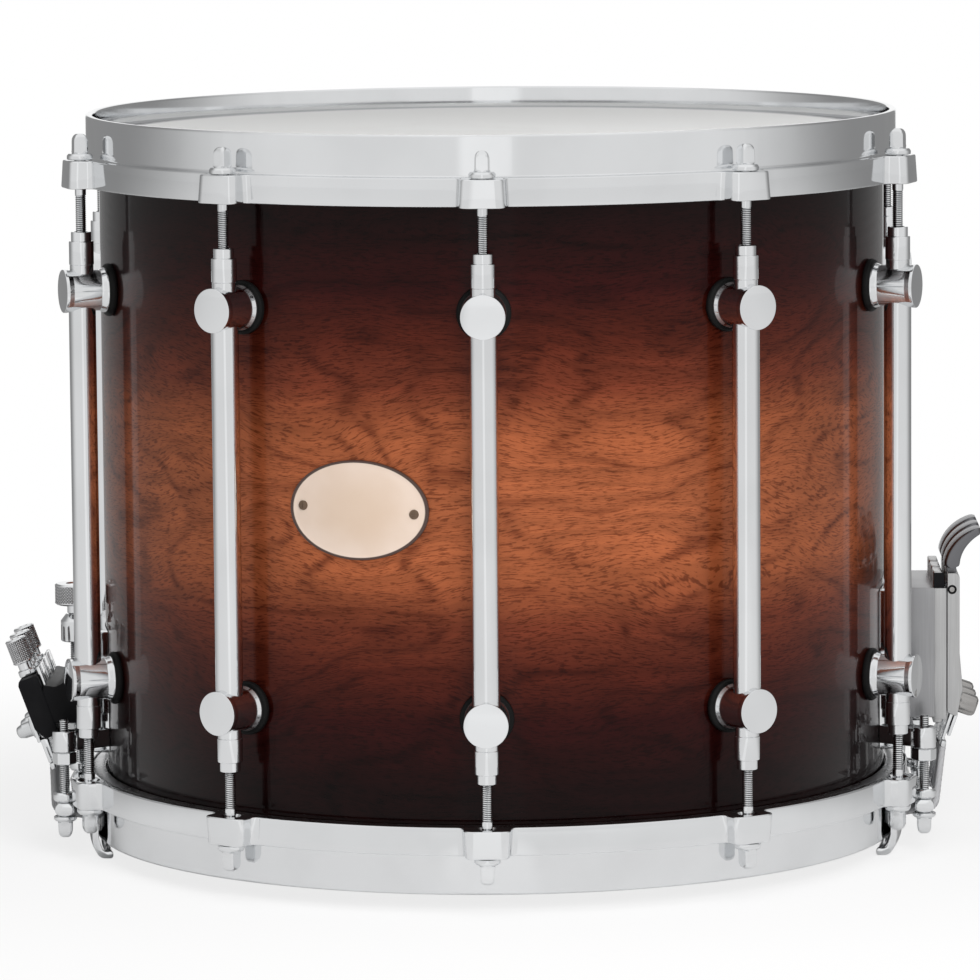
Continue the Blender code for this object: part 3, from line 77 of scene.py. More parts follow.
class Slot(Enum):
    """The material slots, by name."""

    WALNUT = "walnut"
    CHROME = "chrome"
    BATTER_FILM = "batter_film"
    SNARE_FILM = "snare_film"
    BADGE = "badge_plate"
    BLACK = "black_cast"
    HOUSING = "brushed_housing"
    LEVER = "satin_lever"
    PADDLE = "dark_paddle"
    CABLE = "cables"


class Side(Enum):
    """The two ends of the snares, as a sign along X."""

    STRAINER = 1
    BUTT = -1

    @property
    def prefix(self) -> str:
        """The first word of the nodes on this side."""
        return self.name.lower()

    def place(self) -> Matrix:
        """Turns a piece made on the +X side to this side."""
        return Matrix.Rotation(0.0 if self is Side.STRAINER else math.pi, 4, "Z")


class Wire:
    """A socket that takes part in arithmetic: each operator adds one Math node."""

    def __init__(self, graph: "Graph", socket: bpy.types.NodeSocket) -> None:
        """Keeps the tree and the socket."""
        self.graph = graph
        self.socket = socket

    def __add__(self, other: "Wire | float") -> "Wire":
        """The sum."""
        return self.graph.math("ADD", self, other)

    def __sub__(self, other: "Wire | float") -> "Wire":
        """The difference."""
        return self.graph.math("SUBTRACT", self, other)

    def __rsub__(self, other: "Wire | float") -> "Wire":
        """The difference from a number."""
        return self.graph.math("SUBTRACT", other, self)

    def __mul__(self, other: "Wire | float") -> "Wire":
        """The product."""
        return self.graph.math("MULTIPLY", self, other)

    def __truediv__(self, other: "Wire | float") -> "Wire":
        """The quotient."""
        return self.graph.math("DIVIDE", self, other)

    def __pow__(self, other: "Wire | float") -> "Wire":
        """The power."""
        return self.graph.math("POWER", self, other)

    def __gt__(self, other: "Wire | float") -> "Wire":
        """1 where this is the larger, else 0."""
        return self.graph.math("GREATER_THAN", self, other)

    def __lt__(self, other: "Wire | float") -> "Wire":
        """1 where this is the smaller, else 0."""
        return self.graph.math("LESS_THAN", self, other)

    __radd__ = __add__
    __rmul__ = __mul__

    def via(self, operation: str, *others: "Wire | float") -> "Wire":
        """Any other Math operation on this value, such as SINE."""
        return self.graph.math(operation, self, *others)

    def ease(self, low: float, high: float) -> "Wire":
        """A smooth step from 0 at low to 1 at high."""
        sockets = {"Value": self, "From Min": low, "From Max": high}
        return self.graph.node("ShaderNodeMapRange", {"interpolation_type": "SMOOTHSTEP"}, sockets)

    def other(self, name: str) -> "Wire":
        """Another output of the same node."""
        return Wire(self.graph, self.socket.node.outputs[name])


class Graph:
    """Adds nodes to a shader or geometry tree."""

    def __init__(self, tree: bpy.types.NodeTree) -> None:
        """Keeps the tree."""
        self.tree = tree

    def node(self, kind: str, settings: dict | None = None, sockets: dict | None = None,
             output: str | int = 0) -> Wire:
        """Adds a node.

        Args:
            kind: the node's type.
            settings: its properties, set first; "stops" fills a colour ramp.
            sockets: values or wires for its inputs, by name or index.
            output: the output to return.

        Returns:
            The chosen output.
        """
        made = self.tree.nodes.new(kind)
        for key, value in (settings or {}).items():
            if key == "stops":
                self._fill_ramp(made.color_ramp, value)
            else:
                setattr(made, key, value)
        for key, value in (sockets or {}).items():
            if isinstance(value, Wire):
                self.tree.links.new(value.socket, made.inputs[key])
            else:
                made.inputs[key].default_value = value
        return Wire(self, made.outputs[output]) if len(made.outputs) else Wire(self, made.inputs[0])

    @staticmethod
    def _fill_ramp(ramp: bpy.types.ColorRamp, stops: Sequence[tuple[float, Colour]]) -> None:
        """Gives a ramp its stops."""
        while len(ramp.elements) < len(stops):
            ramp.elements.new(1.0)
        for element, (place, colour) in zip(ramp.elements, stops):
            element.position = place
            element.color = (*colour, 1.0)

    def math(self, operation: str, *values: Wire | float) -> Wire:
        """A Math node on values."""
        return self.node("ShaderNodeMath", {"operation": operation}, dict(enumerate(values)))

    def vector(self, operation: str, *values: Wire | Sequence[float]) -> Wire:
        """A Vector Math node on vectors."""
        return self.node("ShaderNodeVectorMath", {"operation": operation}, dict(enumerate(values)))

    def mix(self, share: Wire | float, first: Wire | Sequence[float], second: Wire | Sequence[float],
            blend: str = "MIX") -> Wire:
        """A Mix node on two colours."""
        settings = {"data_type": "RGBA", "blend_type": blend}
        return self.node("ShaderNodeMix", settings, {0: share, 6: first, 7: second}, output=2)

    def split(self, vector: Wire) -> tuple[Wire, Wire, Wire]:
        """The three parts of a vector."""
        x = self.node("ShaderNodeSeparateXYZ", sockets={0: vector})
        return x, x.other("Y"), x.other("Z")

    def join(self, x: Wire | float, y: Wire | float, z: Wire | float) -> Wire:
        """A vector from three parts."""
        return self.node("ShaderNodeCombineXYZ", sockets={0: x, 1: y, 2: z})

    def noise(self, place: Wire, scale: float, detail: float = 2.0, roughness: float = 0.5) -> Wire:
        """A noise value around 0.5."""
        sockets = {"Vector": place, "Scale": scale, "Detail": detail, "Roughness": roughness}
        return self.node("ShaderNodeTexNoise", sockets=sockets)

    def bump(self, height: Wire, distance: float, strength: float = 1.0) -> Wire:
        """A normal bent by a height field."""
        sockets = {"Height": height, "Distance": distance, "Strength": strength}
        return self.node("ShaderNodeBump", sockets=sockets)


def grey(value: float) -> tuple[float, float, float, float]:
    """A neutral colour."""
    return (value, value, value, 1.0)


@dataclass(frozen=True)
class Finish:
    """A surface finish with its own shader."""

    name: str

    def sockets(self, graph: Graph, place: Wire) -> dict:
        """The Principled shader's inputs; place is the Object coordinate."""
        raise NotImplementedError

    def material(self) -> bpy.types.Material:
        """The finish's material, made once."""
        made = bpy.data.materials.get(self.name)
        if made is None:
            made = bpy.data.materials.new(self.name)
            made.use_nodes = True
            made.node_tree.nodes.clear()
            graph = Graph(made.node_tree)
            place = graph.node("ShaderNodeTexCoord", output="Object")
            shader = graph.node("ShaderNodeBsdfPrincipled", sockets=self.sockets(graph, place))
            graph.node("ShaderNodeOutputMaterial", sockets={"Surface": shader})
        return made


@dataclass(frozen=True)
class Plated(Finish):
    """Polished or satin metal plate with faint handling marks."""

    colour: Colour = (0.80, 0.81, 0.82)
    roughness: float = 0.05
    smudge: float = 0.05
    ripple: float = 0.00001

    def sockets(self, graph: Graph, place: Wire) -> dict:
        """Metal whose roughness drifts with handling, over a faint casting ripple."""
        broad = graph.noise(place, 28.0, 3.0)
        fine = graph.noise(place, 420.0, 2.0)
        marks = (broad - 0.35).via("MAXIMUM", 0.0) * 2.0 + (fine - 0.5) * 0.35
        tone = graph.mix(broad.ease(0.35, 0.75), (*self.colour, 1.0), (*[c * 0.95 for c in self.colour], 1.0))
        return {
            "Base Color": tone,
            "Metallic": 1.0,
            "Roughness": self.roughness + marks.via("MAXIMUM", 0.0) * self.smudge,
            "Normal": graph.bump(broad + fine * 0.12, self.ripple),
        }


class Repeat(Enum):
    """How the axis of a grooved piece repeats over the drum."""

    NONE = "one axis"
    ROUND = "evenly about the drum's axis"
    CORNERS = "mirrored in both upright planes"
    ROWS = "in rows along Y"


@dataclass(frozen=True)
class Grooved(Plated):
    """Plate over a thread or a knurl, with painted shade darkening it down in its grooves."""

    point: Corner = (0.0, 0.0, 0.0)
    aim: Corner = (0.0, 0.0, 1.0)
    repeat: Repeat = Repeat.NONE
    spacing: float = 1.0
    groove: float = 0.0
    crest: float = 1.0
    middle: float = 0.0
    reach: float = 1.0
    shade: float = 0.80

    def near(self, graph: Graph, place: Wire) -> Wire:
        """The place from the nearest axis's own point.

        Args:
            graph: the shader's tree.
            place: the Object coordinate.

        Returns:
            The offset from that point, as if there were one axis.
        """
        x, y, z = graph.split(place)
        if self.repeat is Repeat.ROUND:
            radius = (x * x + y * y) ** 0.5
            turn = x.via("ARCTAN2", 0.0 - y) / self.spacing
            off = (turn - turn.via("ROUND")) * self.spacing
            x, y = radius * off.via("SINE"), radius * off.via("COSINE") * -1.0
        if self.repeat is Repeat.CORNERS:
            x, y = x.via("ABSOLUTE"), y.via("ABSOLUTE")
        if self.repeat is Repeat.ROWS:
            y = y - (y / self.spacing).via("ROUND") * self.spacing
        return graph.vector("SUBTRACT", graph.join(x, y, z), self.point)

    def sockets(self, graph: Graph, place: Wire) -> dict:
        """The plate, with painted shade that darkens its tone from the crests down to the grooves."""
        made = super().sockets(graph, place)
        off = self.near(graph, place)
        across = graph.vector("CROSS_PRODUCT", off, self.aim)
        distance = graph.node("ShaderNodeVectorMath", {"operation": "LENGTH"}, {0: across}, "Value")
        z = graph.split(place)[2]
        inside = (z - self.middle).via("ABSOLUTE") < self.reach
        # Painted shade: the tone is pulled toward near-black down in the grooves.
        deep = (1.0 - distance.ease(self.groove, self.crest)) * inside
        made["Base Color"] = graph.mix(deep * self.shade, made["Base Color"], grey(0.05))
        return made


@dataclass(frozen=True)
class Brushed(Finish):
    """Metal brushed along one axis of the drum."""

    colour: Colour = (0.50, 0.50, 0.51)
    roughness: float = 0.30
    stretch: tuple[float, float, float] = (1400.0, 1400.0, 30.0)
    depth: float = 0.000015

    def sockets(self, graph: Graph, place: Wire) -> dict:
        """Fine parallel lines in the tone, the gloss and the relief."""
        lines = graph.noise(graph.vector("MULTIPLY", place, self.stretch), 1.0, 3.0, 0.6)
        cloud = graph.noise(place, 45.0, 3.0)
        shade = graph.mix(lines.ease(0.3, 0.7), (*[c * 0.86 for c in self.colour], 1.0), (*self.colour, 1.0))
        tone = graph.mix(cloud.ease(0.4, 0.7) * 0.35, shade, (*[c * 0.80 for c in self.colour], 1.0))
        return {
            "Base Color": tone,
            "Metallic": 1.0,
            "Roughness": self.roughness + (lines - 0.5) * 0.16 + (cloud - 0.5) * 0.10,
            "Normal": graph.bump(lines, self.depth),
        }


@dataclass(frozen=True)
class Moulded(Finish):
    """Rubber, plastic or coated metal with a fine grain and a little dust."""

    colour: Colour = (0.02, 0.02, 0.021)
    roughness: float = 0.45
    grain: float = 1800.0
    depth: float = 0.00002
    dust: float = 0.25
    shine: float = 0.15

    def sockets(self, graph: Graph, place: Wire) -> dict:
        """A fine grain in the relief and patches of wear in the tone."""
        fine = graph.noise(place, self.grain, 2.0)
        patch = graph.noise(place, 60.0, 4.0, 0.6)
        worn = tuple(c + 0.018 for c in self.colour)
        tone = graph.mix(patch.ease(0.5, 0.8) * self.dust, (*self.colour, 1.0), (*worn, 1.0))
        return {
            "Base Color": tone,
            "Roughness": self.roughness + (patch - 0.5) * 0.18 + (fine - 0.5) * 0.08,
            "Specular IOR Level": self.shine,
            "Normal": graph.bump(fine, self.depth),
        }


@dataclass(frozen=True)
class Walnut(Finish):
    """Figured walnut under a high-gloss lacquer that fades to black at both ends; bare inside."""

    outer_radius: float = 0.1765
    wall: float = 0.0075
    burst_height: float = 0.173
    burst_reach: float = 0.122
    top: float = 0.3224
    bottom: float = 0.0176

    def sockets(self, graph: Graph, place: Wire) -> dict:
        """Grain that runs round the shell, the sunburst, the plies and the lacquer."""
        x, y, z = graph.split(place)
        radius = (x * x + y * y) ** 0.5
        lacquered = radius.ease(self.outer_radius - 0.0016, self.outer_radius - 0.0006)
        figure = graph.noise(graph.join(x * 7.5, y * 7.5, z * 15.0 + 3.7), 1.0, 2.5, 0.45)
        wander = z + (figure - 0.5) * 0.055
        streak = graph.noise(graph.join(x * 16.0, y * 16.0, wander * 300.0), 1.0, 5.0, 0.62)
        pores = graph.noise(graph.join(x * 230.0, y * 230.0, wander * 1900.0), 1.0, 2.0, 0.6)
        curl = graph.noise(graph.join(x * 26.0, y * 26.0, z * 60.0 + figure * 6.0), 1.0, 3.0, 0.55)
        rings = ((figure * 62.0).via("SINE") * 0.5 + 0.5) ** 5.0
        broken = rings * streak.ease(0.38, 0.62)
        height = ((z - self.burst_height).via("ABSOLUTE") / self.burst_reach).via("MINIMUM", 1.0)
        burst = graph.node("ShaderNodeValToRGB", {"stops": [
            (0.00, (0.420, 0.121, 0.046)),
            (0.24, (0.400, 0.111, 0.041)),
            (0.42, (0.180, 0.038, 0.016)),
            (0.58, (0.090, 0.015, 0.007)),
            (0.76, (0.032, 0.0036, 0.0030)),
            (1.00, (0.010, 0.0020, 0.0020)),
        ]}, {0: height})
        light = 0.40 + streak * 1.10 + (curl - 0.5) * 0.55
        figured = graph.mix(1.0, burst, graph.join(light, light, light), "MULTIPLY")
        lined = graph.mix(broken * 0.75, figured, graph.mix(1.0, figured, (0.30, 0.22, 0.20, 1.0), "MULTIPLY"))
        pored = graph.mix(pores.ease(0.49, 0.64) * 0.72, lined,
                          graph.mix(1.0, lined, (0.32, 0.24, 0.22, 1.0), "MULTIPLY"))
        bare = graph.mix(streak.ease(0.3, 0.7), (0.52, 0.36, 0.21, 1.0), (0.63, 0.46, 0.29, 1.0))
        ply = ((radius * (math.tau / 0.0025)).via("SINE")).ease(-0.3, 0.3)
        edge = graph.mix(ply, (0.30, 0.17, 0.09, 1.0), (0.58, 0.41, 0.25, 1.0))
        at_edge = (z > self.top - 0.0048) + (z < self.bottom + 0.0070)
        inside = graph.mix(at_edge, bare, edge)
        relief = pores * 0.6 + streak * 0.4
        return {
            "Base Color": graph.mix(lacquered, inside, pored),
            "Roughness": 0.52 - lacquered * 0.14 + (streak - 0.5) * 0.10,
            "Metallic": lacquered * 0.62,
            "Coat Weight": lacquered,
            "Coat Roughness": 0.02,
            "Coat IOR": 1.20,
            "Specular IOR Level": 0.03,
            "Normal": graph.bump(relief * (1.0 - lacquered), 0.00006),
        }


@dataclass(frozen=True)
class DrumFilm(Finish):
    """A polyester head: coated white on the playing side, clear and hazy on the other."""

    coated: bool = True
    border: float = 0.1690

    def sockets(self, graph: Graph, place: Wire) -> dict:
        """A sprayed coat with its fine tooth and stick marks, or a hazy clear film."""
        x, y, _ = graph.split(place)
        radius = (x * x + y * y) ** 0.5
        tooth = graph.noise(place, 1500.0, 3.0, 0.65)
        cloud = graph.noise(place, 14.0, 4.0, 0.55)
        rim = radius.ease(self.border, self.border + 0.0016)
        if self.coated:
            centre = (1.0 - radius.ease(0.02, 0.10)) * cloud.ease(0.42, 0.62)
            coat = graph.mix(centre * 0.45, (0.86, 0.86, 0.85, 1.0), (0.76, 0.76, 0.75, 1.0))
            return {
                "Base Color": graph.mix(rim, coat, (0.52, 0.52, 0.53, 1.0)),
                "Roughness": 0.62 - rim * 0.32 + (tooth - 0.5) * 0.2,
                "Specular IOR Level": 0.35,
                "Normal": graph.bump(tooth * (1.0 - rim), 0.00012),
            }
        haze = graph.mix(cloud.ease(0.35, 0.7), (0.74, 0.75, 0.76, 1.0), (0.64, 0.65, 0.66, 1.0))
        return {
            "Base Color": haze,
            "Roughness": 0.16 + cloud * 0.12,
            "Alpha": 0.46 + cloud * 0.14,
            "Normal": graph.bump(cloud, 0.0002),
        }


@dataclass(frozen=True)
class Enamel(Finish):
    """The oval plate's cream enamel inside a dark rim line."""

    azimuth: float = -18.0
    height: float = 0.172
    half_width: float = 0.0315
    half_height: float = 0.0215
    radius: float = 0.1780
    rim_share: float = 0.955

    def sockets(self, graph: Graph, place: Wire) -> dict:
        """Cream with a soft bloom, dark toward the edge."""
        x, y, z = graph.split(place)
        turn = math.radians(self.azimuth)
        along = x * math.cos(turn) + y * math.sin(turn)
        across = (along / self.half_width) ** 2.0
        up = ((z - self.height) / self.half_height) ** 2.0
        share = (across + up) ** 0.5
        fine = graph.noise(place, 900.0, 3.0)
        bloom = graph.noise(place, 55.0, 3.0)
        face = graph.mix(share.ease(0.2, 0.95), (0.61, 0.47, 0.365, 1.0), (0.68, 0.55, 0.46, 1.0))
        cloudy = graph.mix(bloom.ease(0.35, 0.75) * 0.35, face, (0.56, 0.41, 0.30, 1.0))
        rim = share.ease(self.rim_share - 0.012, self.rim_share + 0.004)
        return {
            "Base Color": graph.mix(rim, cloudy, (0.045, 0.022, 0.016, 1.0)),
            "Roughness": 0.28 + fine * 0.12,
            "Coat Weight": 0.35,
            "Normal": graph.bump(fine, 0.00001),
        }


CHROME = Plated("chrome_plate")
HEAD_METAL = Plated("key_head_chrome", (0.72, 0.73, 0.74), 0.10, 0.08)
FLESH_METAL = Brushed("flesh_hoop_aluminium", (0.62, 0.62, 0.63), 0.28, (90.0, 90.0, 1500.0))
BRUSHED_HOUSING = Brushed("housing_aluminium", (0.42, 0.42, 0.43), 0.38)
SATIN_LEVER = Brushed("lever_satin", (0.58, 0.58, 0.58), 0.34)
HOUSING_RAIL = Brushed("rail_aluminium", (0.58, 0.58, 0.58), 0.36)
BOLT_METAL = Plated("fluted_bolt_satin", (0.40, 0.39, 0.38), 0.18, 0.12)
DARK_PADDLE = Plated("paddle_satin", (0.19, 0.19, 0.20), 0.26, 0.12)
RUBBER = Moulded("gasket_rubber", (0.006, 0.006, 0.006), 0.40, shine=0.08)
BLACK_CAST = Moulded("black_casting", (0.006, 0.006, 0.007), 0.42, 2600.0, shine=0.10)
WALNUT = Walnut("walnut_lacquer")
BATTER_FILM = DrumFilm("coated_film", True)
SNARE_FILM = DrumFilm("hazy_film", False)
ENAMEL = Enamel("badge_enamel")
DARK_RIVET = Plated("badge_rivet", (0.20, 0.14, 0.10), 0.30, 0.15)
GREY_CABLE = Moulded("coated_cable", (0.44, 0.44, 0.45), 0.50, 2200.0, 0.00004)
# Painted shade in the rods' thread grooves.
ROD_THREAD = Grooved("rod_thread", point=(0.0, -0.1898, 0.0), repeat=Repeat.ROUND, spacing=math.tau / 10,
                     groove=0.00200, crest=0.00236, middle=0.170, reach=0.1298)
STEEL_CABLE = Plated("steel_cable", (0.50, 0.50, 0.51), 0.22, 0.15)


class Form:
    """Points and faces of a mesh in the making."""

    def __init__(self, points: Iterable[Sequence[float]], faces: Iterable[Sequence[int]]) -> None:
        """Keeps the points as an array and the faces as tuples."""
        self.points = np.asarray(points, dtype=float).reshape(-1, 3)
        self.faces = [tuple(face) for face in faces]

    def placed(self, matrix: Matrix) -> "Form":
        """The same form moved by a matrix."""
        moved = np.array(matrix)
        return Form(self.points @ moved[:3, :3].T + moved[:3, 3], self.faces)

    def shifted(self, x: float = 0.0, y: float = 0.0, z: float = 0.0) -> "Form":
        """The same form moved along the axes."""
        return Form(self.points + np.array((x, y, z)), self.faces)

    @staticmethod
    def joined(forms: Iterable["Form"]) -> "Form":
        """Several forms as one."""
        points, faces, offset = [], [], 0
        for form in forms:
            points.append(form.points)
            faces += [tuple(corner + offset for corner in face) for face in form.faces]
            offset += len(form.points)
        return Form(np.vstack(points), faces)

    def mesh(self, name: str) -> bpy.types.Mesh:
        """A mesh with its faces turned outward."""
        made = bpy.data.meshes.new(name)
        made.from_pydata(self.points.tolist(), [], self.faces)
        shape = bmesh.new()
        shape.from_mesh(made)
        bmesh.ops.recalc_face_normals(shape, faces=shape.faces)
        shape.to_mesh(made)
        shape.free()
        return made

    @staticmethod
    def of(mesh: bpy.types.Mesh) -> "Form":
        """The form of an existing mesh."""
        points = np.empty(len(mesh.vertices) * 3)
        mesh.vertices.foreach_get("co", points)
        return Form(points, [tuple(face.vertices) for face in mesh.polygons])

    def eased(self, width: float, segments: int = 3, angle: float = 30.0) -> "Form":
        """The same form with its sharp edges rounded.

        Args:
            width: how wide each rounded edge is.
            segments: faces across it.
            angle: edges flatter than this many degrees stay.

        Returns:
            The rounded form.
        """
        scratch = self.mesh("scratch")
        shape = bmesh.new()
        shape.from_mesh(scratch)
        sharp = [e for e in shape.edges if e.calc_face_angle(0.0) > math.radians(angle)]
        bmesh.ops.bevel(shape, geom=sharp, offset=width, segments=segments, profile=0.5, affect="EDGES",
                        clamp_overlap=True)
        shape.to_mesh(scratch)
        shape.free()
        made = Form.of(scratch)
        bpy.data.meshes.remove(scratch)
        return made

    def carved(self, *cutters: "Form", joined: bool = False) -> "Form":
        """The form with the cutters taken out, or joined to it, by one exact Boolean each."""
        base = bpy.data.objects.new("base", self.mesh("base"))
        bpy.context.scene.collection.objects.link(base)
        for number, cutter in enumerate(cutters):
            tool = bpy.data.objects.new("cutter", cutter.mesh("cutter"))
            bpy.context.scene.collection.objects.link(tool)
            modifier = base.modifiers.new(f"carve_{number}", "BOOLEAN")
            modifier.operation = "UNION" if joined else "DIFFERENCE"
            modifier.object = tool
        graph = bpy.context.evaluated_depsgraph_get()
        made = Form.of(bpy.data.meshes.new_from_object(base.evaluated_get(graph)))
        for modifier in list(base.modifiers):
            bpy.data.objects.remove(modifier.object, do_unlink=True)
        bpy.data.objects.remove(base, do_unlink=True)
        return made


def rounded(corners: Sequence[Corner], steps: int = ARC_STEPS) -> Outline:
    """A closed outline whose corners are arcs.

    Args:
        corners: (across, up, radius) for each corner; radius 0 stays sharp.
        steps: straight pieces in each arc.

    Returns:
        The outline's points in order.
    """
    points: Outline = []
    for index, (across, up, radius) in enumerate(corners):
        here = Vector((across, up))
        back = Vector(corners[index - 1][:2]) - here
        ahead = Vector(corners[(index + 1) % len(corners)][:2]) - here
        half = back.angle(ahead, 0.0) / 2
        sweep = math.pi - 2 * half
        if radius < TINY or sweep < math.radians(2.0):
            points.append((across, up))
            continue
        cut = min(radius / math.tan(half), back.length * 0.49, ahead.length * 0.49)
        start = here + back.normalized() * cut
        end = here + ahead.normalized() * cut
        centre = here + (back.normalized() + ahead.normalized()).normalized() * (cut / math.cos(half))
        for step in range(steps + 1):
            share = step / steps
            spoke = (start - centre) * math.sin((1 - share) * sweep) + (end - centre) * math.sin(share * sweep)
            points.append(tuple(centre + spoke / math.sin(sweep)))
    return points


def polar(radius: float, azimuth: float, height: float = 0.0) -> Vector:
    """A point at a radius and an azimuth in radians, from the front toward +X."""
    return Vector((radius * math.sin(azimuth), -radius * math.cos(azimuth), height))


def turned(outline: Outline, sides: int = SMALL_ROUND) -> Form:
    """A solid turned about Z from a closed outline of (radius, height) points."""
    points: list[Vector] = []
    rows: list[list[int]] = []
    for radius, height in outline:
        if radius < TINY:
            rows.append([len(points)] * sides)
            points.append(Vector((0.0, 0.0, height)))
        else:
            rows.append(list(range(len(points), len(points) + sides)))
            points += [polar(radius, math.tau * side / sides, height) for side in range(sides)]
    faces = []
    for row, following in zip(rows, rows[1:] + rows[:1]):
        for side in range(sides):
            after = (side + 1) % sides
            face = tuple(dict.fromkeys((row[side], row[after], following[after], following[side])))
            if len(face) > 2:
                faces.append(face)
    return Form(points, faces)


def lofted(rings: Sequence[Sequence[Sequence[float]]], looped: bool = False) -> Form:
    """A solid through rings with as many points each.

    Args:
        rings: the rings in order.
        looped: whether the last ring joins the first; otherwise both ends get a flat face.

    Returns:
        The solid.
    """
    width = len(rings[0])
    points = np.array(rings, dtype=float).reshape(-1, 3)
    faces = []
    for ring in range(len(rings) if looped else len(rings) - 1):
        following = (ring + 1) % len(rings)
        for side in range(width):
            after = (side + 1) % width
            faces.append((ring * width + side, ring * width + after,
                          following * width + after, following * width + side))
    if not looped:
        faces.append(tuple(range(width)))
        faces.append(tuple(range(len(points) - width, len(points))))
    return Form(points, faces)


def slab(outline: Outline, low: float, high: float, flat: bool = False) -> Form:
    """An outline extruded between two levels.

    Args:
        outline: (x, z) points, or (x, y) points where flat.
        low: the first level, along Y, or along Z where flat.
        high: the second level.
        flat: whether the outline lies in the drum's plan.

    Returns:
        The solid.
    """
    if flat:
        return lofted([[(x, y, level) for x, y in outline] for level in (low, high)])
    return lofted([[(x, level, z) for x, z in outline] for level in (low, high)])


def box(low: Sequence[float], high: Sequence[float]) -> Form:
    """A box between two corners."""
    (x0, y0, z0), (x1, y1, z1) = low, high
    return slab([(x0, y0), (x1, y0), (x1, y1), (x0, y1)], z0, z1, flat=True)


def outward(azimuth: float, height: float) -> Matrix:
    """Turns a piece made along Z to point outward at an azimuth in radians and a height."""
    level = Matrix.Rotation(math.pi / 2, 4, "X")
    return Matrix.Translation((0, 0, height)) @ Matrix.Rotation(azimuth, 4, "Z") @ level


def lying(x: float, z: float) -> Matrix:
    """Lays a bar made along Z across the drum, along Y, at x and z."""
    return Matrix.Translation((x, 0.0, z)) @ Matrix.Rotation(-math.pi / 2, 4, "X")


def show(name: str, form: Form, finish: Finish, body: str | None,
         replaces: Sequence[str] = (), smooth: float = SMOOTH_ANGLE) -> bpy.types.Object:
    """Puts a finished piece in the scene on its body, in place of the CAD nodes that it stands for.

    Args:
        name: the piece's name.
        form: its shape.
        finish: its finish.
        body: the CAD body that it rides on, or None for a piece between two bodies that rides on neither.
        replaces: the CAD nodes that it stands for.
        smooth: edges sharper than this many degrees stay sharp.

    Returns:
        The object.
    """
    mesh = form.mesh(name)
    mesh.materials.append(finish.material())
    mesh.shade_smooth()
    mesh.set_sharp_from_angle(angle=math.radians(smooth))
    made = bpy.data.objects.new(name, mesh)
    bpy.context.scene.collection.objects.link(made)
    if body:
        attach(made, body)
    if replaces:
        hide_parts(*replaces)
    LOG.info("%s: %d faces on %s", name, len(mesh.polygons), body)
    return made


class Growth:
    """A geometry tree with named inputs, evaluated to a plain mesh."""

    def __init__(self, name: str, inputs: dict[str, str]) -> None:
        """Starts a tree.

        Args:
            name: the tree's name.
            inputs: each input's name and socket type, apart from the geometry and the finish.
        """
        self.tree = bpy.data.node_groups.new(name, "GeometryNodeTree")
        face = self.tree.interface
        face.new_socket("Geometry", in_out="INPUT", socket_type="NodeSocketGeometry")
        for label, kind in inputs.items():
            face.new_socket(label, in_out="INPUT", socket_type=kind)
        face.new_socket("Finish", in_out="INPUT", socket_type="NodeSocketMaterial")
        face.new_socket("Geometry", in_out="OUTPUT", socket_type="NodeSocketGeometry")
        self.graph = Graph(self.tree)
        self.entry = self.graph.node("NodeGroupInput")

    def read(self, name: str) -> Wire:
        """One of the tree's inputs."""
        return self.entry.other(name)

    def close(self, geometry: Wire) -> None:
        """Ends the tree in real geometry with its finish."""
        real = self.graph.node("GeometryNodeRealizeInstances", sockets={"Geometry": geometry})
        dressed = self.graph.node("GeometryNodeSetMaterial", sockets={"Geometry": real,
                                                                      "Material": self.read("Finish")})
        self.graph.node("NodeGroupOutput", sockets={0: dressed})

    def grow(self, values: dict[str, object], finish: Finish, seed: bpy.types.Mesh | None = None) -> Form:
        """Evaluates the tree once.

        Args:
            values: the named inputs.
            finish: the finish for the tree's own material input.
            seed: the geometry that goes in, if any.

        Returns:
            The plain form that comes out.
        """
        host = bpy.data.objects.new("host", seed or bpy.data.meshes.new("seed"))
        bpy.context.scene.collection.objects.link(host)
        modifier = host.modifiers.new("growth", "NODES")
        modifier.node_group = self.tree
        for item in self.tree.interface.items_tree:
            if item.in_out == "INPUT" and item.name in values:
                modifier[item.identifier] = values[item.name]
            if item.in_out == "INPUT" and item.name == "Finish":
                modifier[item.identifier] = finish.material()
        made = bpy.data.meshes.new_from_object(host.evaluated_get(bpy.context.evaluated_depsgraph_get()))
        host.modifiers.clear()
        bpy.data.objects.remove(host, do_unlink=True)
        return Form.of(made)


def ring_growth() -> Growth:
    """Repeats a piece at even steps round the drum's axis."""
    growth = Growth("ring_of_pieces", {"Count": "NodeSocketInt", "Start": "NodeSocketFloat",
                                       "Step": "NodeSocketFloat"})
    graph = growth.graph
    points = graph.node("GeometryNodePoints", sockets={"Count": growth.read("Count")})
    index = graph.node("GeometryNodeInputIndex")
    turn = graph.join(0.0, 0.0, growth.read("Start") + index * growth.read("Step"))
    placed = graph.node("GeometryNodeInstanceOnPoints", sockets={
        "Points": points, "Instance": growth.read("Geometry"), "Rotation": turn})
    growth.close(placed)
    return growth


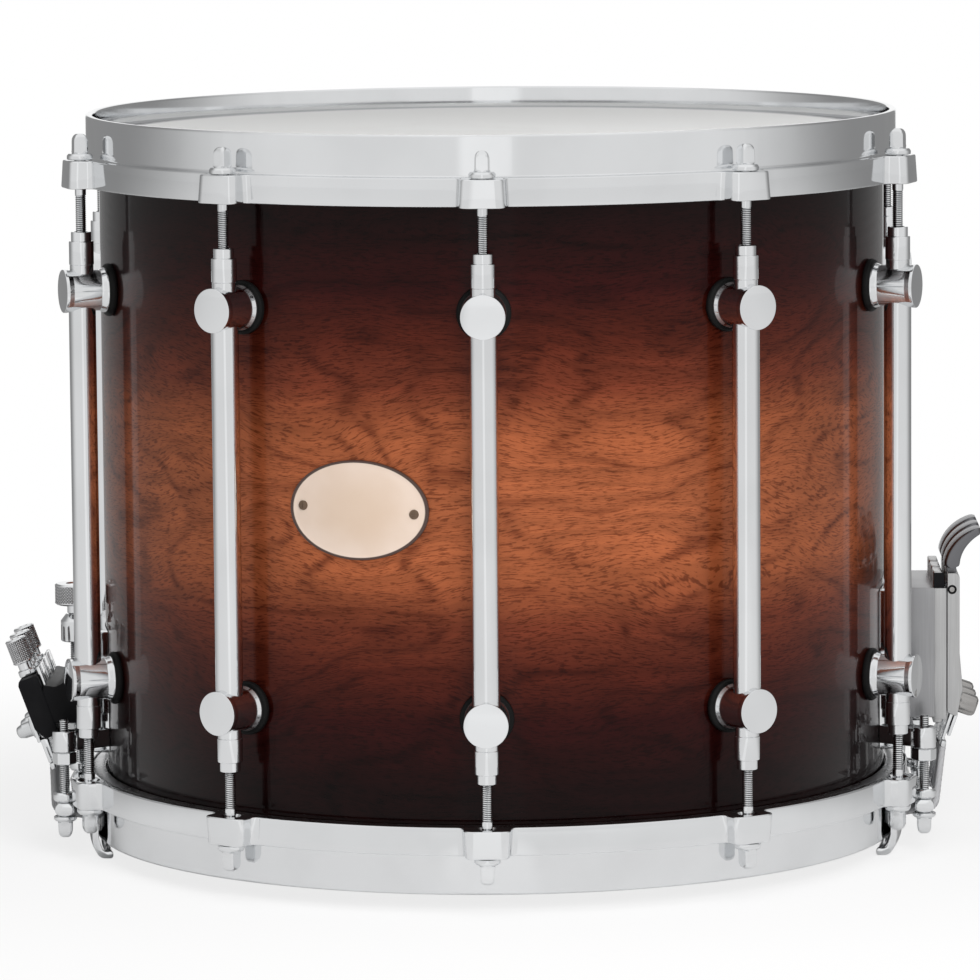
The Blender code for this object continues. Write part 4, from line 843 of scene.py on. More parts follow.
def ridged_growth(crossed: bool) -> Growth:
    """A round bar with one helical ridge, or with crossed ridges that make a diamond knurl."""
    growth = Growth("knurled_bar" if crossed else "threaded_bar", {
        "Sides": "NodeSocketInt", "Rings": "NodeSocketInt", "Radius": "NodeSocketFloat",
        "Length": "NodeSocketFloat", "Depth": "NodeSocketFloat", "Pitch": "NodeSocketFloat",
        "Starts": "NodeSocketFloat"})
    graph = growth.graph
    bar = graph.node("GeometryNodeMeshCylinder", sockets={
        "Vertices": growth.read("Sides"), "Side Segments": growth.read("Rings"),
        "Radius": growth.read("Radius"), "Depth": growth.read("Length")})
    x, y, z = graph.split(graph.node("GeometryNodeInputPosition"))
    around = y.via("ARCTAN2", x) * growth.read("Starts") / math.tau
    along = z / growth.read("Pitch")
    ridge = ((around + along).via("FRACT") - 0.5).via("ABSOLUTE") * 2.0
    if crossed:
        ridge = ridge.via("MAXIMUM", ((around - along).via("FRACT") - 0.5).via("ABSOLUTE") * 2.0)
    inward = graph.vector("NORMALIZE", graph.join(x, y, 0.0))
    half = growth.read("Length") / 2.0
    on_side = (half - z.via("ABSOLUTE")).ease(-TINY, 0.0006)
    pull = ridge * growth.read("Depth") * on_side * -1.0
    offset = graph.node("ShaderNodeVectorMath", {"operation": "SCALE"}, {0: inward, "Scale": pull})
    carved = graph.node("GeometryNodeSetPosition", sockets={"Geometry": bar, "Offset": offset})
    growth.close(carved)
    return growth


@dataclass(frozen=True)
class Levels:
    """The drum's main levels and radii, read from the frame."""

    shell_radius: float
    shell_bottom: float
    shell_top: float
    rim_top: float
    rod_circle: float = 0.1898
    band_radius: float = 0.1870
    lug_count: int = 10
    gap: float = 0.0003

    @classmethod
    def of_frame(cls) -> "Levels":
        """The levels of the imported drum."""
        low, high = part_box("shell")
        return cls(high.x, low.z, high.z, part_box("batter_hoop")[1].z)

    @property
    def middle(self) -> float:
        """Halfway between the two rims."""
        return (self.shell_bottom + self.shell_top) / 2

    @property
    def lug_angle(self) -> float:
        """The turn from one lug to the next."""
        return math.tau / self.lug_count

    def flipped(self) -> Matrix:
        """Turns a batter-side piece over to the snare side."""
        return Matrix.Translation((0, 0, 2 * self.middle)) @ Matrix.Rotation(math.pi, 4, "X")


@dataclass(frozen=True)
class Shell:
    """The wood shell with its bearing edges, snare beds and vent."""

    levels: Levels
    wall: float = 0.0075
    edge_width: float = 0.0029
    edge_height: float = 0.0040
    bevel: float = 0.0046
    bed_depth: float = 0.0018
    bed_angle: float = 24.0
    vent_azimuth: float = 162.0
    vent_radius: float = 0.0052
    vent_wall: float = 0.0010
    flange: float = 0.0090

    def outline(self) -> Outline:
        """The wall's section, with a rounded bearing edge at both ends."""
        levels = self.levels
        outer, inner = levels.shell_radius, levels.shell_radius - self.wall
        upper = [
            (inner, levels.shell_top - self.bevel, 0.0008),
            (outer - self.edge_width, levels.shell_top, 0.0009),
            (outer, levels.shell_top - self.edge_height, 0.0030),
        ]
        lower = [(radius, 2 * levels.middle - height, round_) for radius, height, round_ in reversed(upper)]
        return rounded(upper + lower, 6)

    def build(self) -> None:
        """Makes the shell and its vent grommet."""
        levels = self.levels
        wall = turned(self.outline(), DRUM_ROUND)
        azimuth = np.abs(np.abs(np.arctan2(wall.points[:, 0], -wall.points[:, 1])) - math.pi / 2)
        half = math.radians(self.bed_angle)
        low = (wall.points[:, 2] < levels.shell_bottom + self.edge_height / 2) & (azimuth < half)
        wall.points[low, 2] += self.bed_depth * (0.5 + 0.5 * np.cos(math.pi * azimuth[low] / half))
        frame_of_vent = outward(math.radians(self.vent_azimuth), levels.middle)
        bore_radius = self.vent_radius + self.vent_wall + levels.gap
        bore = turned([(0.0, 0.15), (bore_radius, 0.15), (bore_radius, 0.19), (0.0, 0.19)])
        show("drum_shell", wall.carved(bore.placed(frame_of_vent)), WALNUT, "drum", ["shell"])
        outside = levels.shell_radius + levels.gap
        inside = levels.shell_radius - self.wall - levels.gap
        tube = self.vent_radius + self.vent_wall
        eyelet = rounded([
            (self.vent_radius, inside - self.vent_wall, 0.0005),
            (self.flange, inside - self.vent_wall, 0.0004),
            (self.flange, inside, 0.0001),
            (tube, inside, 0.0),
            (tube, outside, 0.0),
            (self.flange, outside, 0.0001),
            (self.flange, outside + self.vent_wall, 0.0006),
            (self.vent_radius, outside + self.vent_wall, 0.0009),
        ])
        show("air_vent_grommet", turned(eyelet, 48).placed(frame_of_vent), CHROME, "drum",
             ["vent_grommet"])


@dataclass(frozen=True)
class Hoop:
    """A cast hoop: a collar, a shelf, and a band with ten ears drawn out of it."""

    levels: Levels
    name: str
    snare_side: bool = False
    collar_radius: float = 0.1822
    collar_wall: float = 0.0032
    collar_height: float = 0.0178
    shelf: float = 0.0023
    band_height: float = 0.0123
    band_wall: float = 0.0032
    ear_half_width: float = 0.0103
    ear_reach: float = 0.1970
    ear_corner: float = 0.0045
    ear_fillet: float = 0.0030
    draft: float = 0.0007
    edge: float = 0.0007
    hole_radius: float = 0.0029
    hole_mouth: float = 0.0047
    gate_half_width: float = 0.0330
    gate_sill: float = 0.0090
    gate_height: float = 0.0128

    def ear_plan(self, inset: float) -> Outline:
        """The plan of an ear as (along the band, out from the axis) points.

        Args:
            inset: how far its sides and face are drawn in, for the casting's draft.

        Returns:
            The points from one foot to the other.
        """
        half = self.ear_half_width - inset
        reach = self.ear_reach - inset
        fillet = self.ear_fillet
        foot = math.sqrt(self.levels.band_radius ** 2 - (half + fillet) ** 2)
        turns = [math.pi / 2 * step / 6 for step in range(7)]
        left = [(-half - fillet + fillet * math.sin(a), foot + fillet - fillet * math.cos(a)) for a in turns]
        corner = self.ear_corner
        left += [(-half + corner - corner * math.cos(a), reach - corner + corner * math.sin(a)) for a in turns]
        return left + [(-along, out) for along, out in reversed(left)]

    def plan(self, inset: float) -> np.ndarray:
        """The band's whole outer edge in plan, ears and all."""
        levels = self.levels
        ear = self.ear_plan(inset)
        foot_angle = math.atan2(ear[-1][0], ear[-1][1])
        points = []
        for lug in range(levels.lug_count):
            azimuth = lug * levels.lug_angle
            out = polar(1.0, azimuth).xy
            along = Vector((-out.y, out.x))
            points += [out * distance + along * offset for offset, distance in ear]
            between = levels.lug_angle - 2 * foot_angle
            for step in range(1, 14):
                points.append(polar(levels.band_radius, azimuth + foot_angle + between * step / 14).xy)
        return np.array(points)

    def core(self) -> Outline:
        """The hoop's section inside the band's outer edge, as (radius, depth below the rim) points."""
        inner = self.collar_radius - self.collar_wall
        band_inner = self.levels.band_radius - self.band_wall
        foot = self.collar_height + self.band_height
        corners = [
            (band_inner, foot, 0.0004),
            (band_inner, self.collar_height + self.shelf, 0.0006),
            (inner, self.collar_height + self.shelf, 0.0004),
            (inner, 0.0, 0.0012),
            (self.collar_radius, 0.0, 0.0012),
            (self.collar_radius, self.collar_height, 0.0012),
            (self.levels.band_radius, self.collar_height, 0.0),
            (self.levels.band_radius, foot, 0.0),
        ]
        return rounded(corners)[:-2]

    def ring(self) -> Form:
        """The hoop without its holes, for the batter side."""
        top = self.levels.rim_top
        start = self.collar_height
        foot = start + self.band_height
        nodes = []
        for step in range(ARC_STEPS + 1):
            turn = math.pi / 2 * step / ARC_STEPS
            nodes.append((self.edge * (1 - math.sin(turn)), start + self.edge * (1 - math.cos(turn))))
        nodes += [(back, foot - (depth - start)) for back, depth in reversed(nodes)]
        edge_points = []
        for back, depth in nodes:
            plan = self.plan(self.draft * (foot - depth) / self.band_height)
            along = np.roll(plan, -1, axis=0) - np.roll(plan, 1, axis=0)
            out = np.stack([along[:, 1], -along[:, 0]], axis=1)
            out /= np.linalg.norm(out, axis=1)[:, None]
            out *= np.sign(np.sum(out * plan, axis=1))[:, None]
            placed = plan - out * back
            edge_points.append(np.column_stack([placed, np.full(len(plan), top - depth)]))
        outer = self.plan(0.0)
        azimuths = np.unwrap(np.arctan2(outer[:, 0], -outer[:, 1]))
        azimuths = np.maximum.accumulate(azimuths)
        core = []
        for radius, depth in self.core():
            core.append(np.column_stack([radius * np.sin(azimuths), -radius * np.cos(azimuths),
                                         np.full(len(azimuths), top - depth)]))
        return lofted(np.stack(core + edge_points, axis=1).tolist(), looped=True)

    def rod_hole(self) -> Form:
        """One rod's hole with its wide mouth on the shell side, at azimuth 0."""
        upper = self.levels.rim_top - self.collar_height + self.edge
        lower = self.levels.rim_top - self.collar_height - self.band_height
        mouth = self.hole_mouth
        drill = [(0.0, upper), (self.hole_radius, upper), (self.hole_radius, lower + mouth - self.hole_radius),
                 (mouth, lower), (mouth, lower - self.edge), (0.0, lower - self.edge)]
        return turned(drill, 24).shifted(y=-self.levels.rod_circle)

    def gates(self) -> list[Form]:
        """The two openings in the snare hoop that the snares pass through."""
        near = self.collar_radius - self.collar_wall - 0.01
        far = self.levels.band_radius + 0.004
        top = self.gate_sill + self.gate_height
        half = self.gate_half_width
        corners = [(-half, self.gate_sill, 0.004), (half, self.gate_sill, 0.004), (half, top, 0.004),
                   (-half, top, 0.004)]
        window = rounded(corners)
        cut = lofted([[(x, y, z) for y, z in window] for x in (near, far)])
        return [cut.placed(side.place()) for side in Side]

    def build(self, ring: Growth) -> None:
        """Makes the hoop."""
        levels = self.levels
        holes = ring.grow({"Count": levels.lug_count, "Start": 0.0, "Step": levels.lug_angle}, CHROME,
                          self.rod_hole().mesh("rod_hole"))
        form = self.ring().carved(holes)
        if self.snare_side:
            gates = self.gates()
            form = form.placed(levels.flipped()).carved(Form.joined(gates))
            SnareGuard(levels, gates[0]).build()
        show(f"{self.name}_casting", form, CHROME, "drum", [self.name])


@dataclass(frozen=True)
class SnareGuard:
    """A strip that hangs from the snare hoop under the bridge and curls in below the rim."""

    levels: Levels
    gate: Form
    wall: float = 0.0028
    lip: float = 0.0092
    toe_rise: float = 0.0034
    half_width: float = 0.0490
    outer: float = 0.1848
    bulge: float = 0.0044

    def build(self) -> None:
        """Makes the guard on both sides, open where the snares pass."""
        outer, wall, toe = self.outer, self.wall, self.outer - self.lip
        root = self.levels.shell_bottom + 0.008
        section = rounded([
            (outer, root, 0.0004), (outer, 0.0058, 0.0100), (outer - 0.0032, 0.0, 0.0040), (toe, 0.0, 0.0012),
            (toe, self.toe_rise, 0.0011), (outer - 0.0050, wall, 0.0020), (outer - wall, 0.0090, 0.0080),
            (outer - wall, root, 0.0004),
        ], 5)
        rings = []
        for y in np.linspace(-self.half_width, self.half_width, 40):
            back = self.bulge * (y / self.half_width) ** 2
            rings.append([(out - back, y, height) for out, height in section])
        strip = lofted(rings).eased(0.0005, 2, 40.0).carved(self.gate)
        for side in Side:
            show(f"{side.prefix}_snare_guard", strip.placed(side.place()), CHROME, "drum")


@dataclass(frozen=True)
class Heads:
    """The two heads: each a film drawn over the bearing edge and the hoop that holds it."""

    levels: Levels
    film: float = 0.0004
    clearance: float = 0.00035
    flesh_width: float = 0.00655
    flesh_height: float = 0.0093
    shelf_depth: float = 0.0201

    def build(self) -> None:
        """Makes both heads."""
        levels = self.levels
        face = levels.shell_top + levels.gap
        skirt = levels.shell_radius + self.clearance
        flesh_top = levels.rim_top - self.shelf_depth - levels.gap
        flesh_bottom = flesh_top - self.flesh_height
        film = [(0.0, face), (skirt - 0.0029, face), (skirt - 0.0011, face - 0.0008),
                (skirt, face - 0.0032), (skirt, flesh_bottom + 0.002),
                (skirt + self.film, flesh_bottom + 0.002), (skirt + self.film, face - 0.0030),
                (skirt - 0.0008, face - 0.0003), (skirt - 0.0027, face + self.film), (0.0, face + self.film)]
        flesh = rounded([
            (skirt + self.film, flesh_bottom, 0.0006),
            (skirt + self.flesh_width, flesh_bottom, 0.0008),
            (skirt + self.flesh_width, flesh_top, 0.0010),
            (skirt + self.film + 0.0012, flesh_top, 0.0006),
            (skirt + self.film, flesh_top - 0.0016, 0.0006),
        ])
        for name, finish, slot, place in (("batter_head", BATTER_FILM, Slot.BATTER_FILM, Matrix()),
                                          ("snare_head", SNARE_FILM, Slot.SNARE_FILM, levels.flipped())):
            show(f"{name}_film", turned(film, DRUM_ROUND).placed(place), finish, "drum", [name])
            show(f"{name}_flesh_hoop", turned(flesh, DRUM_ROUND).placed(place), FLESH_METAL, "drum")


@dataclass(frozen=True)
class Lugs:
    """Ten tube lugs: each a tube on two waisted posts, with a stepped receiver at both ends."""

    levels: Levels
    tube_radius: float = 0.0060
    post_spacing: float = 0.1740
    post_radius: float = 0.0096
    body_radius: float = 0.0093
    waist_radius: float = 0.0091
    foot_radius: float = 0.0101
    post_face: float = 0.1986
    gasket_radius: float = 0.01175
    gasket_thickness: float = 0.0034
    bore_radius: float = 0.0029
    collar_radius: float = 0.0055
    collar_top: float = 0.1091
    tip_radius: float = 0.0045
    tip_top: float = 0.1132
    ring_radius: float = 0.00525
    screw_radius: float = 0.0046

    def post(self) -> Form:
        """A post, made along Z from its foot on the gasket."""
        foot = self.levels.shell_radius + self.gasket_thickness - 0.0008
        length = self.post_face - foot
        outline = rounded([
            (0.0, 0.0, 0.0), (self.foot_radius, 0.0, 0.0004), (self.foot_radius - 0.0002, 0.0011, 0.0009),
            (self.waist_radius, length * 0.16, 0.0024), (self.body_radius, length * 0.62, 0.0200),
            (self.body_radius, length - 0.0034, 0.0020), (self.post_radius, length - 0.0014, 0.0012),
            (self.post_radius, length, 0.0003), (0.0, length, 0.0),
        ], 6)
        return turned(outline, 48).shifted(z=foot)

    def barrel(self) -> Form:
        """The tube with its receivers, centred on its own axis."""
        post_end = self.post_spacing / 2 + self.post_radius
        upper = [
            (self.bore_radius, self.tip_top, 0.0003), (self.tip_radius, self.tip_top, 0.0004),
            (self.tip_radius, self.collar_top, 0.0001), (self.collar_radius, self.collar_top, 0.0005),
            (self.collar_radius, post_end + 0.0022, 0.0003), (self.ring_radius, post_end + 0.0020, 0.0001),
            (self.ring_radius, post_end - 0.0030, 0.0), (self.tube_radius, post_end - 0.0030, 0.0),
        ]
        lower = [(radius, -height, round_) for radius, height, round_ in reversed(upper)]
        return turned(rounded(upper + lower), 40)

    def gasket(self) -> Form:
        """A rubber ring under a post, made along Z."""
        start = self.levels.shell_radius - 0.0003
        outer, thick = self.gasket_radius, self.gasket_thickness
        return turned(rounded([
            (self.post_radius - 0.0022, start, 0.0), (outer, start, 0.0013),
            (outer, start + thick, 0.0022), (self.post_radius - 0.0010, start + thick, 0.0008),
        ], 6), 48)

    def inner_screw(self) -> Form:
        """A lug screw's pan head on its washer, inside the shell, made along Z."""
        wall = self.levels.shell_radius - 0.0075
        washer = turned(rounded([(0.0, wall - 0.0012, 0.0), (0.0062, wall - 0.0012, 0.0003),
                                 (0.0062, wall, 0.0003), (0.0, wall, 0.0)]), 24)
        head = turned(rounded([(0.0, wall - 0.0046, 0.0), (self.screw_radius, wall - 0.0046, 0.0022),
                               (self.screw_radius, wall - 0.0010, 0.0003), (0.0, wall - 0.0010, 0.0)]), 24)
        slot = [box((-0.0005, -0.0027, wall - 0.0052), (0.0005, 0.0027, wall - 0.0032)),
                box((-0.0027, -0.0005, wall - 0.0052), (0.0027, 0.0005, wall - 0.0032))]
        return Form.joined([washer, head.carved(*slot)])

    def build(self, ring: Growth) -> None:
        """Makes the ten lugs, their gaskets and their screws."""
        levels = self.levels
        heights = [levels.middle + side * self.post_spacing / 2 for side in (-1, 1)]
        posts = [self.post().placed(outward(0.0, height)) for height in heights]
        barrel = self.barrel().shifted(y=-levels.rod_circle, z=levels.middle)
        lug = Form.joined([barrel, *posts])
        for number in range(levels.lug_count):
            place = Matrix.Rotation(number * levels.lug_angle, 4, "Z")
            show(f"tube_lug_{number + 1:02d}", lug.placed(place), CHROME, "drum",
                 [f"lug_{number + 1:02d}"])
        values = {"Count": levels.lug_count, "Start": 0.0, "Step": levels.lug_angle}
        for name, piece, finish, slot in (("lug_gaskets", self.gasket(), RUBBER, Slot.BLACK),
                                          ("lug_screws", self.inner_screw(), CHROME, Slot.CHROME)):
            pair = Form.joined([piece.placed(outward(0.0, height)) for height in heights])
            show(name, ring.grow(values, finish, pair.mesh(name)), finish, "drum")


def squarish(width: float, height: float, square: float, count: int = 32) -> list[Vector]:
    """A ring between round and square.

    Args:
        width: across the flats.
        height: its level.
        square: 0 for round, up to 1 for a square with small round corners.
        count: how many points it has.

    Returns:
        The points in order.
    """
    power = 2.0 + 10.0 * square
    ring = []
    for index in range(count):
        turn = math.tau * (index + 0.5) / count
        c, s = math.cos(turn), math.sin(turn)
        reach = width / 2 / (abs(c) ** power + abs(s) ** power) ** (1 / power)
        ring.append(Vector((reach * c, reach * s, height)))
    return ring


@dataclass(frozen=True)
class KeyRod:
    """A tension rod with its thread, washer and square key head; z = 0 is the washer's seat."""

    radius: float = 0.00245
    thread_depth: float = 0.00046
    pitch: float = 0.00092
    washer_radius: float = 0.0052
    washer_height: float = 0.0027
    head_width: float = 0.0062
    head_height: float = 0.0088

    def thread(self, growth: Growth, low: float, high: float) -> Form:
        """The threaded stretch between two levels."""
        length = high - low
        values = {"Sides": 24, "Rings": round(length / self.pitch * 6), "Radius": self.radius,
                  "Length": length, "Depth": self.thread_depth, "Pitch": self.pitch, "Starts": 1.0}
        return growth.grow(values, CHROME).shifted(z=(low + high) / 2)

    def head(self) -> Form:
        """The square head with its flared foot and round tip."""
        foot, top = self.washer_height, self.washer_height + self.head_height
        width = self.head_width
        stages = [(width * 1.18, foot - 0.0003, 0.0), (width * 1.17, foot + 0.0002, 0.0),
                  (width * 1.08, foot + 0.0006, 0.4), (width * 1.02, foot + 0.0012, 0.8),
                  (width, foot + 0.0024, 1.0), (width * 0.99, top - 0.0036, 1.0),
                  (width * 0.97, top - 0.0026, 0.8), (width * 0.90, top - 0.0016, 0.5),
                  (width * 0.76, top - 0.0008, 0.3), (width * 0.52, top - 0.0002, 0.2), (width * 0.22, top, 0.0)]
        return lofted([squarish(*stage) for stage in stages])

    def washer(self) -> Form:
        """The washer under the head."""
        outer, high = self.washer_radius, self.washer_height
        return turned(rounded([(0.0, 0.0, 0.0), (outer, 0.0, 0.0005), (outer, high * 0.62, 0.0006),
                               (outer - 0.0008, high, 0.0008), (0.0, high, 0.0)]), 32)

    def whole(self, growth: Growth, foot: float, plain: float) -> Form:
        """The rod from its foot to its tip.

        Args:
            growth: the threaded bar's tree.
            foot: the rod's lower end.
            plain: how much of it is plain under the washer.

        Returns:
            The rod.
        """
        shank = turned([(0.0, -plain - 0.0004), (self.radius * 0.86, -plain - 0.0004), (self.radius, -plain),
                        (self.radius, 0.001), (0.0, 0.001)], 24)
        return Form.joined([self.thread(growth, foot, -plain), shank, self.washer(), self.head()])


@dataclass(frozen=True)
class TensionRods:
    """Ten rods to each hoop."""

    levels: Levels
    rod: KeyRod = field(default_factory=lambda: KeyRod(washer_radius=0.0058))
    collar_height: float = 0.0178
    foot: float = -0.0530
    plain: float = 0.0155

    def build(self, thread: Growth) -> None:
        """Makes the twenty rods."""
        levels = self.levels
        seat = levels.rim_top - self.collar_height + levels.gap
        form = self.rod.whole(thread, self.foot, self.plain)
        for number in range(levels.lug_count):
            azimuth = number * levels.lug_angle
            up = Matrix.Translation(polar(levels.rod_circle, azimuth, seat)) @ Matrix.Rotation(azimuth, 4, "Z")
            down = Matrix.Translation(polar(levels.rod_circle, azimuth, 2 * levels.middle - seat))
            down = down @ Matrix.Rotation(azimuth, 4, "Z") @ Matrix.Rotation(math.pi, 4, "X")
            for name, place in (("batter_rod", up), ("snare_rod", down)):
                node = f"{name}_{number + 1:02d}"
                show(f"{node}_key_rod", form.placed(place), ROD_THREAD, node, [node])


@dataclass(frozen=True)
class Badge:
    """The bare oval plate and its two rivets."""

    levels: Levels
    azimuth: float = -18.0
    height: float = 0.172
    half_width: float = 0.0315
    half_height: float = 0.0215
    thickness: float = 0.0012
    rivet_inset: float = 0.0062
    rivet_radius: float = 0.0021

    def build(self) -> None:
        """Makes the plate and the rivets."""
        back = self.levels.shell_radius + self.levels.gap
        face = back + self.thickness
        centre = math.radians(self.azimuth)
        shares = [(1.0, back), (1.0, face - 0.0003), (0.992, face), (0.965, face + 0.00005), (0.95, face - 0.0001)]
        shares += [(step / 8, face - 0.0001) for step in range(7, 0, -1)]
        rings = []
        for share, radius in shares:
            ring = []
            for step in range(ROUND):
                turn = math.tau * step / ROUND
                azimuth = centre + self.half_width * share * math.cos(turn) / back
                ring.append(polar(radius, azimuth, self.height + self.half_height * share * math.sin(turn)))
            rings.append(ring)
        show("badge_plate", lofted(rings), ENAMEL, "drum", ["badge"])
        rivet = turned(rounded([(0.0, face - 0.0004, 0.0), (self.rivet_radius, face - 0.0004, 0.0),
                                (self.rivet_radius, face + 0.0005, 0.0006), (0.0, face + 0.0008, 0.0)]), 24)
        slots = [box((-0.0002, -0.0012, face + 0.0004), (0.0002, 0.0012, face + 0.0012)),
                 box((-0.0012, -0.0002, face + 0.0004), (0.0012, 0.0002, face + 0.0012))]
        turn = (self.half_width - self.rivet_inset) / face
        cut = rivet.carved(*slots)
        pair = [cut.placed(outward(centre + side * turn, self.height - side * 0.0012)) for side in (-1, 1)]
        show("badge_rivets", Form.joined(pair), DARK_RIVET, "drum")


@dataclass(frozen=True)
class Places:
    """Where the side fittings sit, on the strainer side, read from the frame."""

    levels: Levels
    bridge_x: float
    rod_y: float
    bar_bottom: float
    bar_top: float
    housing_back: float
    housing_front: float
    housing_bottom: float
    housing_top: float
    pivot: Vector
    rows: tuple[float, ...] = (-0.020, 0.0, 0.020)
    yoke_bottom: float = 0.0480
    yoke_top: float = 0.0574
    lean: float = 20.0
    strand_pitch: float = 0.0036
    strands: int = 4

    @classmethod
    def of_frame(cls, levels: Levels) -> "Places":
        """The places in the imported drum."""
        bar_low, bar_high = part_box("strainer_bridge")
        rod_low, rod_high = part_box("strainer_bridge_rod_2")
        low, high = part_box("strainer_housing")
        return cls(levels, (bar_low.x + bar_high.x) / 2, (rod_low.y + rod_high.y) / 2, bar_low.z, bar_high.z,
                   low.x, high.x, low.z, high.z, Vector((0.2062, 0.0, 0.1172)))

    def lead_down(self) -> Vector:
        """The direction of a lead from a clamp down to its bridge, on the strainer side."""
        lean = math.radians(self.lean)
        return Vector((-math.sin(lean), 0.0, -math.cos(lean)))

    def aimed(self, at: Vector, up: Vector) -> Matrix:
        """A frame at a point with its Z along up and its Y along the drum's Y."""
        across = Vector((0.0, 1.0, 0.0))
        turn = Matrix((across.cross(up), across, up)).transposed().to_4x4()
        return Matrix.Translation(at) @ turn

    def tilted(self) -> Matrix:
        """The frame of the butt's leaning clamp block, in the strainer side's terms."""
        return self.aimed(Vector((0.2057, 0.0, 0.06567)), -self.lead_down())


def prism(sides: int, radius: float, low: float, high: float, chamfer: float = 0.0005) -> Form:
    """A many-sided nut along Z with chamfered ends."""
    stages = [(radius - chamfer, low), (radius, low + chamfer), (radius, high - chamfer), (radius - chamfer, high)]
    return lofted([[polar(reach, math.tau * (side + 0.5) / sides, level) for side in range(sides)]
                   for reach, level in stages])


def bored(form: Form, x: float, y: float, radius: float) -> Form:
    """The form with an upright hole right through it."""
    drill = turned([(0.0, -1.0), (radius, -1.0), (radius, 1.0), (0.0, 1.0)], 24)
    return form.carved(drill.shifted(x, y))


@dataclass(frozen=True)
class Bracket:
    """A saddle on the shell, its yoke out to the bridge rods, and the lock nuts under the bosses."""

    places: Places
    side: Side
    top: float
    saddle_width: float = 0.0680
    saddle_thickness: float = 0.0050
    boss_radius: float = 0.0053
    nut_radius: float = 0.0054
    nut_height: float = 0.0054
    arm_radius: float = 0.0075
    arm_bottom: float = 0.0920
    arm_cone: float = 0.0032
    cone_radius: float = 0.0050
    screw_radius: float = 0.0039
    screw_standoff: float = 0.0135

    def yoke(self) -> Form:
        """The crossbar on the saddle, with an arm and a boss for each bridge rod."""
        places = self.places
        face = places.levels.shell_radius + self.saddle_thickness
        cross, boss, rod = places.levels.shell_radius + 0.0125, self.boss_radius, places.rod_y
        arm = boss * 0.82
        half = [(face - 0.010, self.saddle_width / 2, 0.0), (face + boss, rod + boss * 0.4, 0.003),
                (places.bridge_x, rod + arm, 0.0), (places.bridge_x, rod - arm, 0.0), (cross, rod - 2 * boss, 0.004)]
        corners = half + [(x, -y, ease) for x, y, ease in reversed(half)]
        low, high = places.yoke_bottom, places.yoke_top
        bosses = [turned(rounded([(0.0, low, 0.0), (boss, low, 0.0004), (boss, high, 0.0006), (0.0, high, 0.0)]), 40)
                  .shifted(places.bridge_x, y) for y in (-rod, rod)]
        inset = 0.0006
        arm = slab(rounded(corners), low + inset, high - inset, flat=True).eased(0.0006, 2)
        return arm.carved(*bosses, joined=True)

    def build(self) -> None:
        """Makes the bracket on its side."""
        places, radius = self.places, self.places.levels.shell_radius
        saddle = box((radius - 0.010, -self.saddle_width / 2, places.yoke_bottom - 0.0024),
                     (radius + self.saddle_thickness, self.saddle_width / 2, self.top)).eased(0.0016, 3)
        parts = [self.yoke()]
        if self.side is Side.BUTT:
            axis, arm = radius + self.screw_standoff, self.arm_radius
            seat = self.top + self.arm_cone
            boss = turned(rounded([(0.0, self.arm_bottom, 0.0), (arm, self.arm_bottom, 0.0006),
                                   (arm, self.top, 0.0008), (self.cone_radius, seat, 0.0004), (0.0, seat, 0.0)]),
                          56).shifted(axis)
            shank = box((radius, -arm * 0.96, self.arm_bottom + 0.0004), (axis, arm * 0.96, self.top - 0.0004))
            parts += [shank, boss]
        whole = saddle.carved(*parts, joined=True)
        if self.side is Side.BUTT:
            whole = bored(whole, radius + self.screw_standoff, 0.0, self.screw_radius)
        seat = turned([(0.0, 0.0), (radius + places.levels.gap, 0.0), (radius + places.levels.gap, 0.3), (0.0, 0.3)],
                      DRUM_ROUND)
        whole = whole.carved(seat)
        low = places.yoke_bottom - places.levels.gap
        nuts = [prism(6, self.nut_radius, low - self.nut_height, low).shifted(places.bridge_x, y)
                for y in (-places.rod_y, places.rod_y)]
        for y in (-places.rod_y, places.rod_y):
            whole = bored(whole, places.bridge_x, y, 0.0026)
            nuts = [bored(nut, places.bridge_x, y, 0.0024) for nut in nuts]
        name = self.side.prefix
        show(f"{name}_saddle_bracket", whole.placed(self.side.place()), CHROME, "drum",
             [f"{name}_bracket"])
        show(f"{name}_lock_nuts", Form.joined(nuts).placed(self.side.place()), CHROME, "drum")


